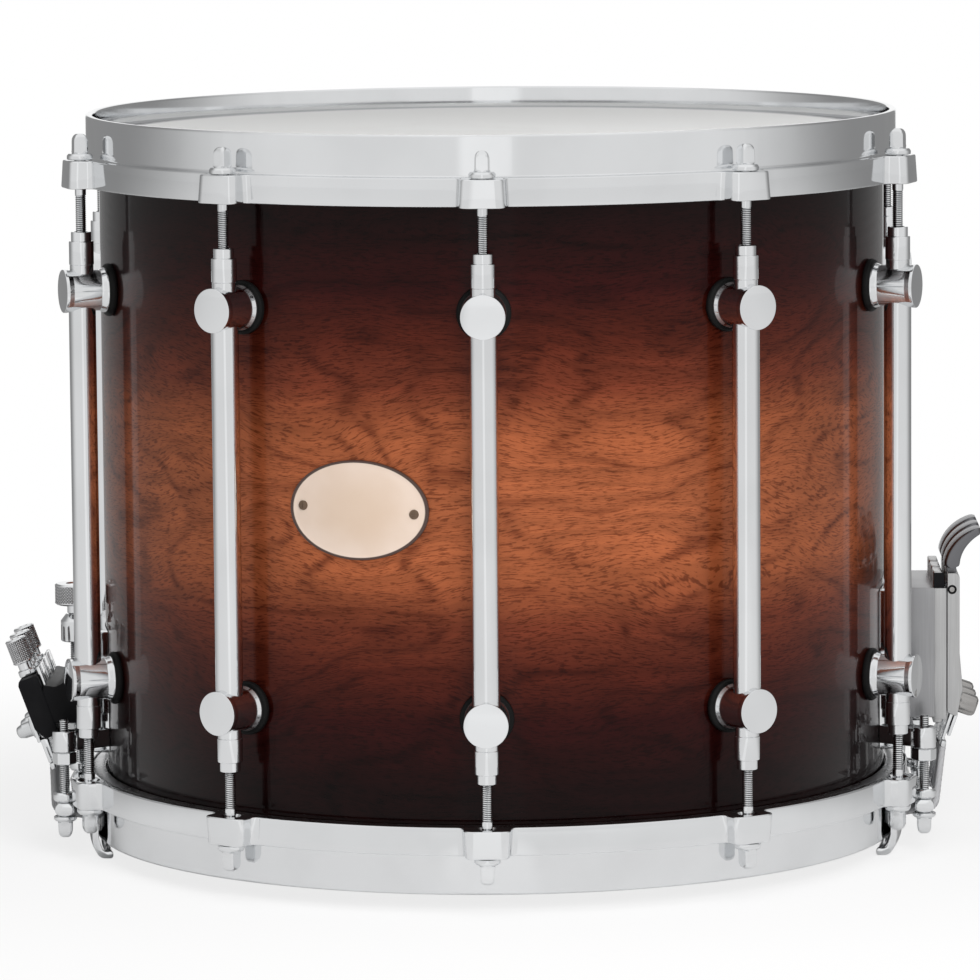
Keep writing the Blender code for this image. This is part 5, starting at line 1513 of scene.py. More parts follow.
@dataclass(frozen=True)
class Bridge:
    """A bridge bar and the two key rods that carry it, on both sides of the drum."""

    places: Places
    rod: KeyRod = field(default_factory=lambda: KeyRod(0.0023, washer_height=0.0022, head_height=0.0075))
    collar_radius: float = 0.0053
    collar_height: float = 0.0042
    above_yoke: float = 0.0052

    def bar(self) -> Form:
        """The bar with its long edges fully rounded and a hole for each rod."""
        places = self.places
        half_height = (places.bar_top - places.bar_bottom) / 2
        low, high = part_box("strainer_bridge")
        half_width = (high.x - low.x) / 2
        x, z, end = places.bridge_x, (places.bar_top + places.bar_bottom) / 2, half_height * 0.98
        section = rounded([(x - half_width, z - half_height, end), (x + half_width, z - half_height, end),
                           (x + half_width, z + half_height, end), (x - half_width, z + half_height, end)], 8)
        reach = high.y
        form = slab(section, -reach, reach).eased(0.0010, 3, 50.0)
        for y in (-places.rod_y, places.rod_y):
            form = bored(form, x, y, self.rod.radius + 0.0003)
        return form

    def key_rod(self, thread: Growth) -> Form:
        """A key rod: head and washer under the bar, collar over it, thread up through the yoke."""
        places, gap = self.places, self.places.levels.gap
        under, over = places.bar_bottom - gap, places.bar_top + gap
        turn_over = Matrix.Translation((0, 0, under)) @ Matrix.Rotation(math.pi, 4, "X")
        radius, ring = self.rod.radius, self.collar_radius
        collar = turned(rounded([
            (radius - 0.0004, over, 0.0), (ring - 0.0008, over, 0.0002), (ring, over + 0.0009, 0.0006),
            (ring, over + self.collar_height - 0.0008, 0.0008), (ring - 0.0010, over + self.collar_height, 0.0003),
            (radius - 0.0004, over + self.collar_height, 0.0)]), 40)
        shank = turned([(0.0, under - 0.001), (radius, under - 0.001), (radius, over + 0.001), (0.0, over + 0.001)], 24)
        tip = places.yoke_top + self.above_yoke
        threads = self.rod.thread(thread, over, tip - 0.0006)
        crown = turned([(0.0, tip - 0.0007), (radius * 0.9, tip - 0.0007), (radius * 0.7, tip), (0.0, tip)], 24)
        foot = [self.rod.washer().placed(turn_over), self.rod.head().placed(turn_over)]
        return Form.joined([*foot, shank, collar, threads, crown])

    def build(self, thread: Growth) -> None:
        """Makes both bars and their four rods."""
        places, bar, rod = self.places, self.bar(), self.key_rod(thread)
        low, high = places.bar_top, places.yoke_top + self.above_yoke
        # Painted shade in the bridge rods' thread grooves.
        look = Grooved("bridge_thread", point=(places.bridge_x, places.rod_y, 0.0), repeat=Repeat.CORNERS,
                       groove=self.rod.radius - 0.00040, crest=self.rod.radius - 0.00006,
                       middle=(low + high) / 2, reach=(high - low) / 2)
        for side in Side:
            name = f"{side.prefix}_bridge"
            show(f"{name}_bar", bar.placed(side.place()), CHROME, name, [name])
            for number, y in ((1, -places.rod_y), (2, places.rod_y)):
                node = f"{name}_rod_{number}"
                show(f"{node}_key", rod.shifted(side.value * places.bridge_x, y), look, node, [node])


@dataclass(frozen=True)
class Strainer:
    """The housing with its T-slots, three sliders with lever bars and clamps, and three levers."""

    places: Places
    rail_depth: float = 0.0063
    rail_drop: float = 0.0009
    lip: float = 0.0015
    core_width: float = 0.0144
    core_thickness: float = 0.0042
    core_rise: float = 0.0070
    core_drop: float = 0.0028
    neck_width: float = 0.0084
    bar_width: float = 0.0170
    bar_thickness: float = 0.0056
    flare: float = 0.0014
    flare_start: float = 0.0290
    flare_peak: float = 0.0130
    toe_setback: float = 0.0012
    heel_rise: float = 0.0020
    bar_rise: float = 0.0063
    fork: float = 0.0062
    pin_radius: float = 0.0014
    ring_radius: float = 0.0021
    plate_length: float = 0.0115
    plate_thickness: float = 0.0036
    bolt_radius: float = 0.0050
    bolt_length: float = 0.0083
    bolt_droop: float = 19.0
    bolt_above_toe: float = 0.0059
    paddle_width: float = 0.0160
    paddle_reach: float = 0.01325
    paddle_rise: float = 0.0167
    paddle_turn: float = 68.0
    root_thickness: float = 0.0075
    tip_thickness: float = 0.0033
    root_above_pin: float = 0.0096
    tang_radius: float = 0.0034

    def housing(self) -> None:
        """The plain block on the saddle and the rail in front of it that holds the T-slots."""
        places, gap = self.places, self.places.levels.gap
        split = places.housing_front - self.rail_depth
        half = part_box("strainer_housing")[1].y
        low, high = places.housing_bottom, places.housing_top
        block = box((places.housing_back, -half, low), (split + 0.0012, half, high)).eased(0.0009, 3)
        rail = box((split, -half + gap, low - self.rail_drop), (places.housing_front, half - gap, high - 0.0002))
        rail = rail.eased(0.0006, 2)
        cuts = []
        for row in places.rows:
            wide, narrow = self.core_width / 2 + gap, self.neck_width / 2 + gap
            lip = places.housing_front - self.lip
            cuts.append(box((split - 0.01, row - wide, 0.0), (lip, row + wide, 0.2)))
            cuts.append(box((lip - 0.001, row - narrow, 0.0), (lip + 0.01, row + narrow, 0.2)))
        show("strainer_housing_block", block, BRUSHED_HOUSING, "drum", ["strainer_housing"])
        show("strainer_housing_rail", rail.carved(*cuts), HOUSING_RAIL, "drum")

    def bar_outline(self) -> Outline:
        """The side of a lever bar, flared where the clamp bolt goes in."""
        places = self.places
        back = places.housing_front + places.levels.gap
        front = back + self.bar_thickness
        foot, top = places.housing_bottom, places.housing_top + self.bar_rise
        return rounded([
            (back, foot + self.heel_rise, 0.0004), (back, top, 0.0005), (front, top, 0.0022),
            (front, foot + self.flare_start, 0.0200), (front + self.flare, foot + self.flare_peak, 0.0030),
            (front - self.toe_setback, foot, 0.0010),
        ], 8)

    def core(self) -> Form:
        """The part of a slider that runs in the T-slot, with its neck through the lip."""
        places, gap = self.places, self.places.levels.gap
        front = places.housing_front - self.lip - gap
        half, neck = self.core_width / 2, self.neck_width / 2
        low, high = places.housing_bottom - self.core_drop, places.housing_top + self.core_rise
        core = box((front - self.core_thickness, -half, low), (front, half, high)).eased(0.0007, 3)
        web = box((front - gap, -neck, places.housing_bottom + 0.001),
                  (places.housing_front + 2 * gap, neck, places.housing_top - 0.001))
        return Form.joined([core, web])

    def pad(self) -> Form:
        """A black block on the near side of the first core only: painted shade where that core looks dark."""
        places, gap = self.places, self.places.levels.gap
        front = places.housing_front - self.lip - gap
        low, high = places.housing_top - 0.001, places.housing_top + self.core_rise - 0.0006
        return box((front - self.core_thickness + 0.0003, -self.core_width / 2 - 0.0002, low),
                   (front + 0.0008, -self.core_width / 2 + 0.0006, high))

    def bar(self) -> Form:
        """A lever bar with its fork for the lever and the bore for its pin."""
        places = self.places
        form = slab(self.bar_outline(), -self.bar_width / 2, self.bar_width / 2).eased(0.0006, 3, 50.0)
        fork = box((places.housing_front - 0.002, -self.fork / 2, places.pivot.z - self.tang_radius - 0.0004),
                   (places.housing_front + 0.02, self.fork / 2, places.housing_top + 0.02))
        bore = turned([(0.0, -0.02), (self.pin_radius + 0.0002, -0.02), (self.pin_radius + 0.0002, 0.02), (0.0, 0.02)])
        return form.carved(fork, bore.placed(lying(places.pivot.x, places.pivot.z)))

    def clamp(self) -> tuple[Form, Form]:
        """The clamp plates under a bar, and the fluted bolt that closes them."""
        places = self.places
        down = places.lead_down()
        root = Vector((places.housing_front + places.levels.gap + self.bar_thickness / 2, 0.0, places.housing_bottom))
        end = places.aimed(root + down * self.plate_length, -down)
        half, wide = self.plate_thickness / 2, places.strand_pitch * places.strands / 2
        outer = box((-half, -wide, 0.0), (-half * 0.15, wide, self.plate_length * 1.15)).eased(0.0004, 2)
        inner = box((half * 0.15, -wide, self.plate_length * 0.22), (half, wide, self.plate_length * 1.15))
        window = box((-half * 1.5, -0.0030, self.plate_length * 0.30), (0.0, 0.0030, self.plate_length * 0.52))
        plates = Form.joined([outer.carved(window), inner.eased(0.0004, 2)]).placed(end)
        droop = math.radians(self.bolt_droop)
        foot = root + Vector((self.bar_thickness / 2, 0.0, self.bolt_above_toe))
        aim = Vector((math.cos(droop), 0.0, -math.sin(droop)))
        return plates, fluted_bolt(self.bolt_radius, self.bolt_length).placed(places.aimed(foot, aim))

    def paddle(self) -> Form:
        """The curved thumb paddle of a lever, above the pin at the origin."""
        rings = []
        for step in range(25):
            share = step / 24
            turn = share * math.radians(self.paddle_turn)
            full = math.radians(self.paddle_turn)
            x = self.paddle_reach * (1.0 - math.cos(turn)) / (1.0 - math.cos(full))
            z = self.root_above_pin + self.paddle_rise * math.sin(turn) / math.sin(full)
            thick = self.root_thickness + (self.tip_thickness - self.root_thickness) * share ** 1.3
            end = max(1.0 - ((share - 0.90) / 0.105) ** 2, 0.0) ** 0.5 if share > 0.90 else 1.0
            start = (1.0 - (1.0 - share / 0.12) ** 2) ** 0.5 * 0.6 + 0.4 if share < 0.12 else 1.0
            width = self.paddle_width * (1.0 - 0.22 * share ** 3) * (0.55 + 0.45 * end)
            rings.append(self.crowned(x, z, turn, thick * start * (0.45 + 0.55 * end), width))
        return lofted(rings)

    @staticmethod
    def crowned(x: float, z: float, turn: float, thick: float, width: float) -> list[Vector]:
        """A rounded section across the paddle, dished on the thumb's side."""
        normal = Vector((math.cos(turn), 0.0, -math.sin(turn)))
        across = Vector((0.0, 1.0, 0.0))
        edge = min(thick * 0.42, 0.0016)
        outline = rounded([(-thick / 2, -width / 2, edge), (thick / 2, -width / 2, edge),
                           (thick / 2, width / 2, edge), (-thick / 2, width / 2, edge)], 5)
        dished = []
        for deep, wide in outline:
            dish = 0.0007 * (1.0 - (2 * wide / width) ** 2) if deep > 0 else 0.0
            dished.append(Vector((x, 0.0, z)) + normal * (deep - dish) + across * wide)
        return dished

    def lever(self) -> tuple[Form, Form]:
        """A lever's paddle with its tang, and the pin that it turns on."""
        half = self.fork / 2 - self.places.levels.gap
        tang = turned(rounded([(0.0, -half, 0.0), (self.tang_radius, -half, 0.0004),
                               (self.tang_radius, half, 0.0004), (0.0, half, 0.0)]), 48)
        tang = tang.placed(lying(0.0, 0.0))
        neck = box((-0.0022, -half, 0.0), (0.0022, half, self.root_above_pin + 0.002)).eased(0.0004, 2)
        reach = self.bar_width / 2
        pin = turned(rounded([(0.0, -reach, 0.0), (self.pin_radius, -reach, 0.0004),
                              (self.pin_radius, reach, 0.0004), (0.0, reach, 0.0)]), 24).placed(lying(0.0, 0.0))
        return tang.carved(neck, joined=True).carved(self.paddle(), joined=True), pin

    def build(self) -> None:
        """Makes the strainer."""
        self.housing()
        core, bar = self.core(), self.bar()
        plates, bolt = self.clamp()
        lever, pin = self.lever()
        collar = turned(rounded([(self.pin_radius + 0.0002, self.bar_width / 2 - 0.0006, 0.0),
                                 (self.ring_radius, self.bar_width / 2 - 0.0006, 0.0),
                                 (self.ring_radius, self.bar_width / 2 + 0.0003, 0.0003),
                                 (self.pin_radius + 0.0002, self.bar_width / 2 + 0.0003, 0.0)]), 32)
        rings = Form.joined([collar, collar.placed(Matrix.Rotation(math.pi, 4, "X"))])
        rings = rings.placed(lying(self.places.pivot.x, self.places.pivot.z))
        for number, row in enumerate(self.places.rows, start=1):
            slider, handle = f"strainer_slider_{number}", f"strainer_handle_{number}"
            show(f"{slider}_bar", bar.shifted(y=row), SATIN_LEVER, slider, [slider])
            show(f"{slider}_core", core.shifted(y=row), HOUSING_RAIL, slider)
            # Painted shade: the black block goes only on the first core's near side.
            if row < 0:
                show(f"{slider}_pad", self.pad().shifted(y=row), BLACK_CAST, slider)
            show(f"{slider}_plates", plates.shifted(y=row), CHROME, slider)
            show(f"{slider}_bolt", bolt.shifted(y=row), BOLT_METAL, slider)
            show(f"{slider}_pin_rings", rings.shifted(y=row), BLACK_CAST, slider)
            at = self.places.pivot + Vector((0.0, row, 0.0))
            show(f"{handle}_paddle", lever.shifted(*at), DARK_PADDLE, handle, [handle])
            show(f"{handle}_pin", pin.shifted(*at), BOLT_METAL, handle)


def fluted_bolt(radius: float, length: float) -> Form:
    """A clamp bolt along Z with a fluted head and a thin shank below z = 0."""
    stages = [(radius * 0.5, -length * 0.4, 0.0), (radius * 0.5, 0.0, 0.0), (radius * 0.93, 0.0, 0.3),
              (radius, length * 0.10, 1.0), (radius, length * 0.74, 1.0), (radius * 0.92, length * 0.90, 0.6),
              (radius * 0.70, length, 0.0), (radius * 0.34, length, 0.0), (radius * 0.30, length * 0.80, 0.0)]
    rings = []
    for reach, level, flute in stages:
        ring = []
        for side in range(72):
            turn = math.tau * side / 72
            ring.append(polar(reach * (1.0 - 0.11 * flute * (0.5 + 0.5 * math.cos(9 * turn))), turn, level))
        rings.append(ring)
    return lofted(rings)


@dataclass(frozen=True)
class Butt:
    """The carriage on its height screw, the leaning clamp block and its knobs, bolts and plates."""

    places: Places
    carriage_width: float = 0.0620
    carriage_height: float = 0.0205
    carriage_depth: float = 0.0220
    block_length: float = 0.0285
    block_thickness: float = 0.0098
    plate_length: float = 0.0115
    knob_radius: float = 0.00485
    knob_height: float = 0.0116
    neck_height: float = 0.0060
    screw_radius: float = 0.0019
    height_knob_radius: float = 0.0100
    height_knob_length: float = 0.0096
    stem_radius: float = 0.0045
    stem_length: float = 0.0040
    height_screw_radius: float = 0.0034
    screw_standoff: float = 0.0135
    arm_seat: float = 0.1045

    def carriage(self) -> Form:
        """The black carriage and the block that leans out of it, made on the strainer side."""
        places, gap = self.places, self.places.levels.gap
        back, low = places.housing_back, places.yoke_top + 0.0013
        deep, tall = self.carriage_depth, self.carriage_height
        outline = rounded([(back, low, 0.0010), (back + deep, low, 0.0020), (back + deep, low + tall * 0.86, 0.0020),
                           (back + deep * 0.72, low + tall * 0.80, 0.0050), (back + deep * 0.42, low + tall, 0.0040),
                           (back, low + tall, 0.0015)], 6)
        half = self.carriage_width / 2
        body = slab(outline, -half, half).eased(0.0009, 3, 50.0)
        thick, long = self.block_thickness / 2, self.block_length / 2
        leaning = rounded([(-thick, -long, 0.0016), (thick * 0.35, -long, 0.0012), (thick, -long * 0.62, 0.0030),
                           (thick, long * 0.86, 0.0018), (thick * 0.80, long, 0.0010), (-thick * 0.86, long, 0.0010),
                           (-thick, long * 0.88, 0.0015)], 5)
        block = slab(leaning, -half - gap, half + gap).eased(0.0006, 2, 50.0).placed(places.tilted())
        bores = [turned([(0.0, long - 0.019), (self.screw_radius + gap, long - 0.019),
                         (self.screw_radius + gap, long + 0.01), (0.0, long + 0.01)], 24)
                 .placed(places.tilted()).shifted(y=row) for row in places.rows]
        whole = body.carved(block, joined=True).carved(*bores)
        return bored(whole, places.levels.shell_radius + self.screw_standoff, 0.0, self.height_screw_radius + 0.0005)

    def clamps(self) -> tuple[Form, Form, Form]:
        """The clamp plates, the acorn bolts that close them, and the bright index plates on top."""
        places = self.places
        thick, long = self.block_thickness / 2, self.block_length / 2
        wide = places.strand_pitch * places.strands / 2
        frame_of_block = places.tilted()
        strap = box((thick - 0.0002, -wide, -long - self.plate_length * 0.10), (thick + 0.0014, wide, -long * 0.18))
        jaw = box((thick * 0.30, -wide, -long - self.plate_length), (thick * 0.30 + 0.0034, wide, -long - 0.0002))
        slot = box((thick * 0.30 + 0.0012, -wide * 1.2, -long - self.plate_length * 1.1),
                   (thick * 0.30 + 0.0020, wide * 1.2, -long - self.plate_length * 0.35))
        plates = Form.joined([strap.eased(0.0004, 2), jaw.eased(0.0005, 2).carved(slot)]).placed(frame_of_block)
        acorn = turned(rounded([
            (0.0, 0.0, 0.0), (0.0048, 0.0, 0.0002), (0.0048, 0.0010, 0.0004), (0.0036, 0.0012, 0.0004),
            (0.0034, 0.0050, 0.0012), (0.0024, 0.0078, 0.0016), (0.0, 0.0084, 0.0)]), 32)
        outward_bolt = places.aimed(Vector(), -places.lead_down()) @ Matrix.Rotation(math.pi / 2, 4, "Y")
        at = frame_of_block @ Vector((thick + 0.0014, 0.0, -long * 0.62))
        bolt = acorn.placed(Matrix.Translation(at) @ outward_bolt)
        back = -thick - 0.0003
        plate = box((back - 0.0016, -wide, long * 0.05), (back, wide, long * 1.22)).eased(0.0004, 2)
        window = box((back - 0.004, -0.0012, long * 0.62), (back + 0.001, 0.0012, long * 0.92))
        return plates, bolt, plate.carved(window.eased(0.0004, 2)).placed(frame_of_block)

    def tension_knob(self, knurl: Growth) -> tuple[Form, Form]:
        """A knurled knob, and its neck and screw; z = 0 is its seat."""
        radius, edge, neck = self.knob_radius, 0.0006, self.neck_height
        values = {"Sides": 168, "Rings": 56, "Radius": radius, "Length": self.knob_height - 2 * edge,
                  "Depth": 0.00038, "Pitch": 0.00125, "Starts": 24.0}
        grip = knurl.grow(values, CHROME).shifted(z=neck + self.knob_height / 2)
        caps = [turned(rounded([(0.0, 0.0, 0.0), (radius, 0.0, 0.0), (radius - 0.0006, edge, 0.0003),
                                (radius * 0.45, edge, 0.0), (radius * 0.40, edge * 0.5, 0.0), (0.0, edge * 0.5, 0.0)]), 48)
                .placed(place) for place in (Matrix.Translation((0, 0, neck + self.knob_height - edge)),
                                             Matrix.Translation((0, 0, neck + edge)) @ Matrix.Rotation(math.pi, 4, "X"))]
        stem = turned(rounded([
            (0.0, -0.018, 0.0), (self.screw_radius, -0.018, 0.0004), (self.screw_radius, 0.0, 0.0),
            (radius * 0.86, 0.0, 0.0003), (radius * 0.86, neck * 0.45, 0.0006), (radius * 0.66, neck * 0.5, 0.0003),
            (radius * 0.66, neck + 0.0002, 0.0), (0.0, neck + 0.0002, 0.0)]), 32)
        return grip, Form.joined([stem, *caps])

    def height_knob(self, knurl: Growth, thread: Growth) -> tuple[Form, Form]:
        """The large knurled knob, and its stem with the long screw, on the screw's own axis."""
        gap, radius, edge = self.places.levels.gap, self.height_knob_radius, 0.0007
        foot = self.arm_seat + gap
        low = foot + self.stem_length
        values = {"Sides": 216, "Rings": 36, "Radius": radius, "Length": self.height_knob_length - 2 * edge,
                  "Depth": 0.00040, "Pitch": 0.00135, "Starts": 42.0}
        grip = knurl.grow(values, CHROME).shifted(z=low + self.height_knob_length / 2)
        rim = rounded([(0.0, 0.0, 0.0), (radius, 0.0, 0.0), (radius - 0.0008, edge, 0.0004),
                       (radius * 0.50, edge, 0.0), (radius * 0.46, edge * 0.4, 0.0), (0.0, edge * 0.4, 0.0)])
        top = turned(rim, 64).shifted(z=low + self.height_knob_length - edge)
        under = turned(rim, 64).placed(Matrix.Translation((0, 0, low + edge)) @ Matrix.Rotation(math.pi, 4, "X"))
        screw = KeyRod(self.height_screw_radius, 0.00045, 0.00100).thread(thread, self.places.yoke_top + 0.003, foot)
        stem = turned(rounded([(0.0, foot, 0.0), (self.stem_radius, foot, 0.0004), (self.stem_radius, low, 0.0),
                               (0.0, low, 0.0)]), 40)
        return grip, Form.joined([stem, screw, top, under])

    def build(self, knurl: Growth, thread: Growth) -> None:
        """Makes the butt."""
        side = Side.BUTT.place()
        plates, bolt, index = self.clamps()
        show("butt_carriage_block", self.carriage().placed(side), BLACK_CAST, "butt_carriage",
             ["butt_carriage"])
        for name, piece, finish in (("plates", plates, CHROME), ("acorn_bolts", bolt, HEAD_METAL),
                                    ("index_plates", index, CHROME)):
            row_of = Form.joined([piece.shifted(y=row) for row in self.places.rows])
            show(f"butt_{name}", row_of.placed(side), finish, "butt_carriage")
        grip, stem = self.tension_knob(knurl)
        seat = self.block_length / 2 + self.places.levels.gap
        axis = side @ self.places.tilted()
        radius = self.knob_radius
        # Painted shade in the tension knobs' knurl grooves.
        look = Grooved("knob_knurl", (0.74, 0.74, 0.75), 0.14, point=tuple(axis.translation),
                       aim=tuple(axis.col[2].xyz), repeat=Repeat.ROWS, spacing=self.places.rows[2],
                       groove=radius - 0.00032, crest=radius - 0.00016)
        for number, row in enumerate(self.places.rows, start=1):
            place = Matrix.Translation((0, row, 0)) @ side @ self.places.tilted() @ Matrix.Translation((0, 0, seat))
            node = f"butt_tension_knob_{number}"
            show(f"{node}_grip", grip.placed(place), look, node, [node])
            show(f"{node}_stem", stem.placed(place), CHROME, node)
        grip, stem = self.height_knob(knurl, thread)
        axis = -(self.places.levels.shell_radius + self.screw_standoff)
        radius = self.height_knob_radius
        # Painted shade in the height knob's knurl grooves.
        look = Grooved("height_knob_knurl", (0.74, 0.74, 0.75), 0.14, point=(axis, 0.0, 0.0),
                       groove=radius - 0.00032, crest=radius - 0.00016)
        show("butt_height_knob_grip", grip.shifted(axis), look, "butt_height_knob",
             ["butt_height_knob"])
        screw = self.height_screw_radius
        # Painted shade in the height screw's thread grooves.
        look = Grooved("height_screw_thread", point=(axis, 0.0, 0.0), groove=screw - 0.00040,
                       crest=screw - 0.00006, reach=self.arm_seat)
        show("butt_height_knob_stem", stem.shifted(axis), look, "butt_height_knob")


def cable_growth() -> Growth:
    """A twisted cable along a path of edges."""
    growth = Growth("twisted_cable", {"Radius": "NodeSocketFloat", "Lobes": "NodeSocketFloat",
                                      "Depth": "NodeSocketFloat", "Lay": "NodeSocketFloat", "Step": "NodeSocketFloat"})
    graph = growth.graph
    path = graph.node("GeometryNodeMeshToCurve", sockets={"Mesh": growth.read("Geometry")})
    even = graph.node("GeometryNodeResampleCurve", {"mode": "LENGTH"}, {"Curve": path, "Length": growth.read("Step")})
    run = graph.node("GeometryNodeSplineParameter", output="Length")
    tilted = graph.node("GeometryNodeSetCurveTilt", sockets={
        "Curve": even, "Tilt": run * math.tau / growth.read("Lay")})
    ring = graph.node("GeometryNodeCurvePrimitiveCircle", sockets={"Resolution": 15, "Radius": growth.read("Radius")})
    place = graph.node("GeometryNodeInputPosition")
    x, y, _ = graph.split(place)
    wave = (y.via("ARCTAN2", x) * growth.read("Lobes")).via("COSINE") * growth.read("Depth")
    swell = graph.node("ShaderNodeVectorMath", {"operation": "SCALE"}, {0: graph.vector("NORMALIZE", place),
                                                                        "Scale": wave})
    profile = graph.node("GeometryNodeSetPosition", sockets={"Geometry": ring, "Offset": swell})
    tube = graph.node("GeometryNodeCurveToMesh", sockets={"Curve": tilted, "Profile Curve": profile,
                                                          "Fill Caps": True})
    growth.close(tube)
    return growth


def polyline(points: Sequence[Vector]) -> bpy.types.Mesh:
    """A mesh of edges from point to point."""
    made = bpy.data.meshes.new("path")
    made.from_pydata([tuple(p) for p in points], [(i, i + 1) for i in range(len(points) - 1)], [])
    return made


@dataclass(frozen=True)
class Snares:
    """Three sets of cables under the snare head, with their leads up to the clamps."""

    places: Places
    radius: float = 0.0009
    coated_radius: float = 0.00150
    split: float = 0.1690
    tab_length: float = 0.0030
    tab_thickness: float = 0.0024
    plate_length: float = 0.0115
    bar_thickness: float = 0.0056

    def clamp_end(self, side: Side) -> Vector:
        """Where the leads leave their clamp, in the strainer side's terms."""
        places = self.places
        if side is Side.STRAINER:
            root = Vector((places.housing_front + places.levels.gap + self.bar_thickness / 2, 0.0,
                           places.housing_bottom))
            return root + places.lead_down() * self.plate_length
        return places.tilted() @ Vector((0.0037, 0.0, -0.01425 - self.plate_length))

    def lead(self, side: Side, radius: float) -> list[Vector]:
        """The middle of a lead from under the head, round the bridge and up to its clamp."""
        places = self.places
        half = (places.bar_top - places.bar_bottom) / 2
        low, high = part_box("strainer_bridge")
        corner = Vector((high.x - half, 0.0, (places.bar_top + places.bar_bottom) / 2))
        bend = half + places.levels.gap + radius + 0.0001
        plane = self.plane(radius)
        points = [Vector((self.split, 0.0, plane)), Vector((0.1822, 0.0, plane + 0.0003))]
        for degrees in range(86, 4, -10):
            turn = math.radians(degrees)
            points.append(corner + Vector((bend * math.cos(turn), 0.0, -bend * math.sin(turn))))
        end = self.clamp_end(side) + places.lead_down() * (places.levels.gap + self.tab_length / 2)
        return points + [points[-1].lerp(end, share) for share in (0.25, 0.5, 0.75, 1.0)]

    def plane(self, radius: float) -> float:
        """The height of the middle of the strands under the head."""
        return self.places.levels.shell_bottom - 0.0011 - radius

    def strands(self, cable: Growth, path: Sequence[Vector], row: float, finish: Finish, radius: float) -> Form:
        """The strands of one set along a path."""
        places = self.places
        values = {"Radius": radius, "Lobes": 5.0, "Depth": 0.00003 if radius > self.radius else 0.00012,
                  "Lay": 0.012, "Step": 0.0010}
        forms = []
        for index in range(places.strands):
            offset = (index - (places.strands - 1) / 2) * places.strand_pitch
            line = polyline([p + Vector((0.0, row + offset, 0.0)) for p in path])
            forms.append(cable.grow(values, finish, line))
        return Form.joined(forms)

    def build(self, cable: Growth) -> None:
        """Makes the three sets, each with a fixed middle and two leads shaped round the bridges."""
        places = self.places
        for number, row in enumerate(places.rows, start=1):
            finish, radius = (GREY_CABLE, self.coated_radius) if number == 1 else (STEEL_CABLE, self.radius)
            plane = self.plane(radius)
            middle = self.strands(cable, [Vector((-self.split, 0, plane)), Vector((self.split, 0, plane))], row,
                                  finish, radius)
            show(f"snare_set_{number}_middle", middle, finish, "drum", [f"snare_set_{number}"])
            for side in Side:
                path = self.lead(side, radius)
                turn = side.place()
                lead = self.strands(cable, path, row * side.value, finish, radius)
                half, wide = self.tab_thickness / 2, places.strand_pitch * places.strands / 2
                end = places.aimed(self.clamp_end(side), -places.lead_down())
                tab = box((-half, -wide, -places.levels.gap - self.tab_length), (half, wide, -places.levels.gap))
                tab = tab.eased(0.0005, 2).placed(end).shifted(y=row * side.value)
                for part, form, look in (("lead", lead, finish), ("crimp", tab, HEAD_METAL)):
                    name = f"snare_set_{number}_{side.prefix}_{part}"
                    made = show(name, form.placed(turn), look, None)
                    turn @ path[-1]
                    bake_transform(made)


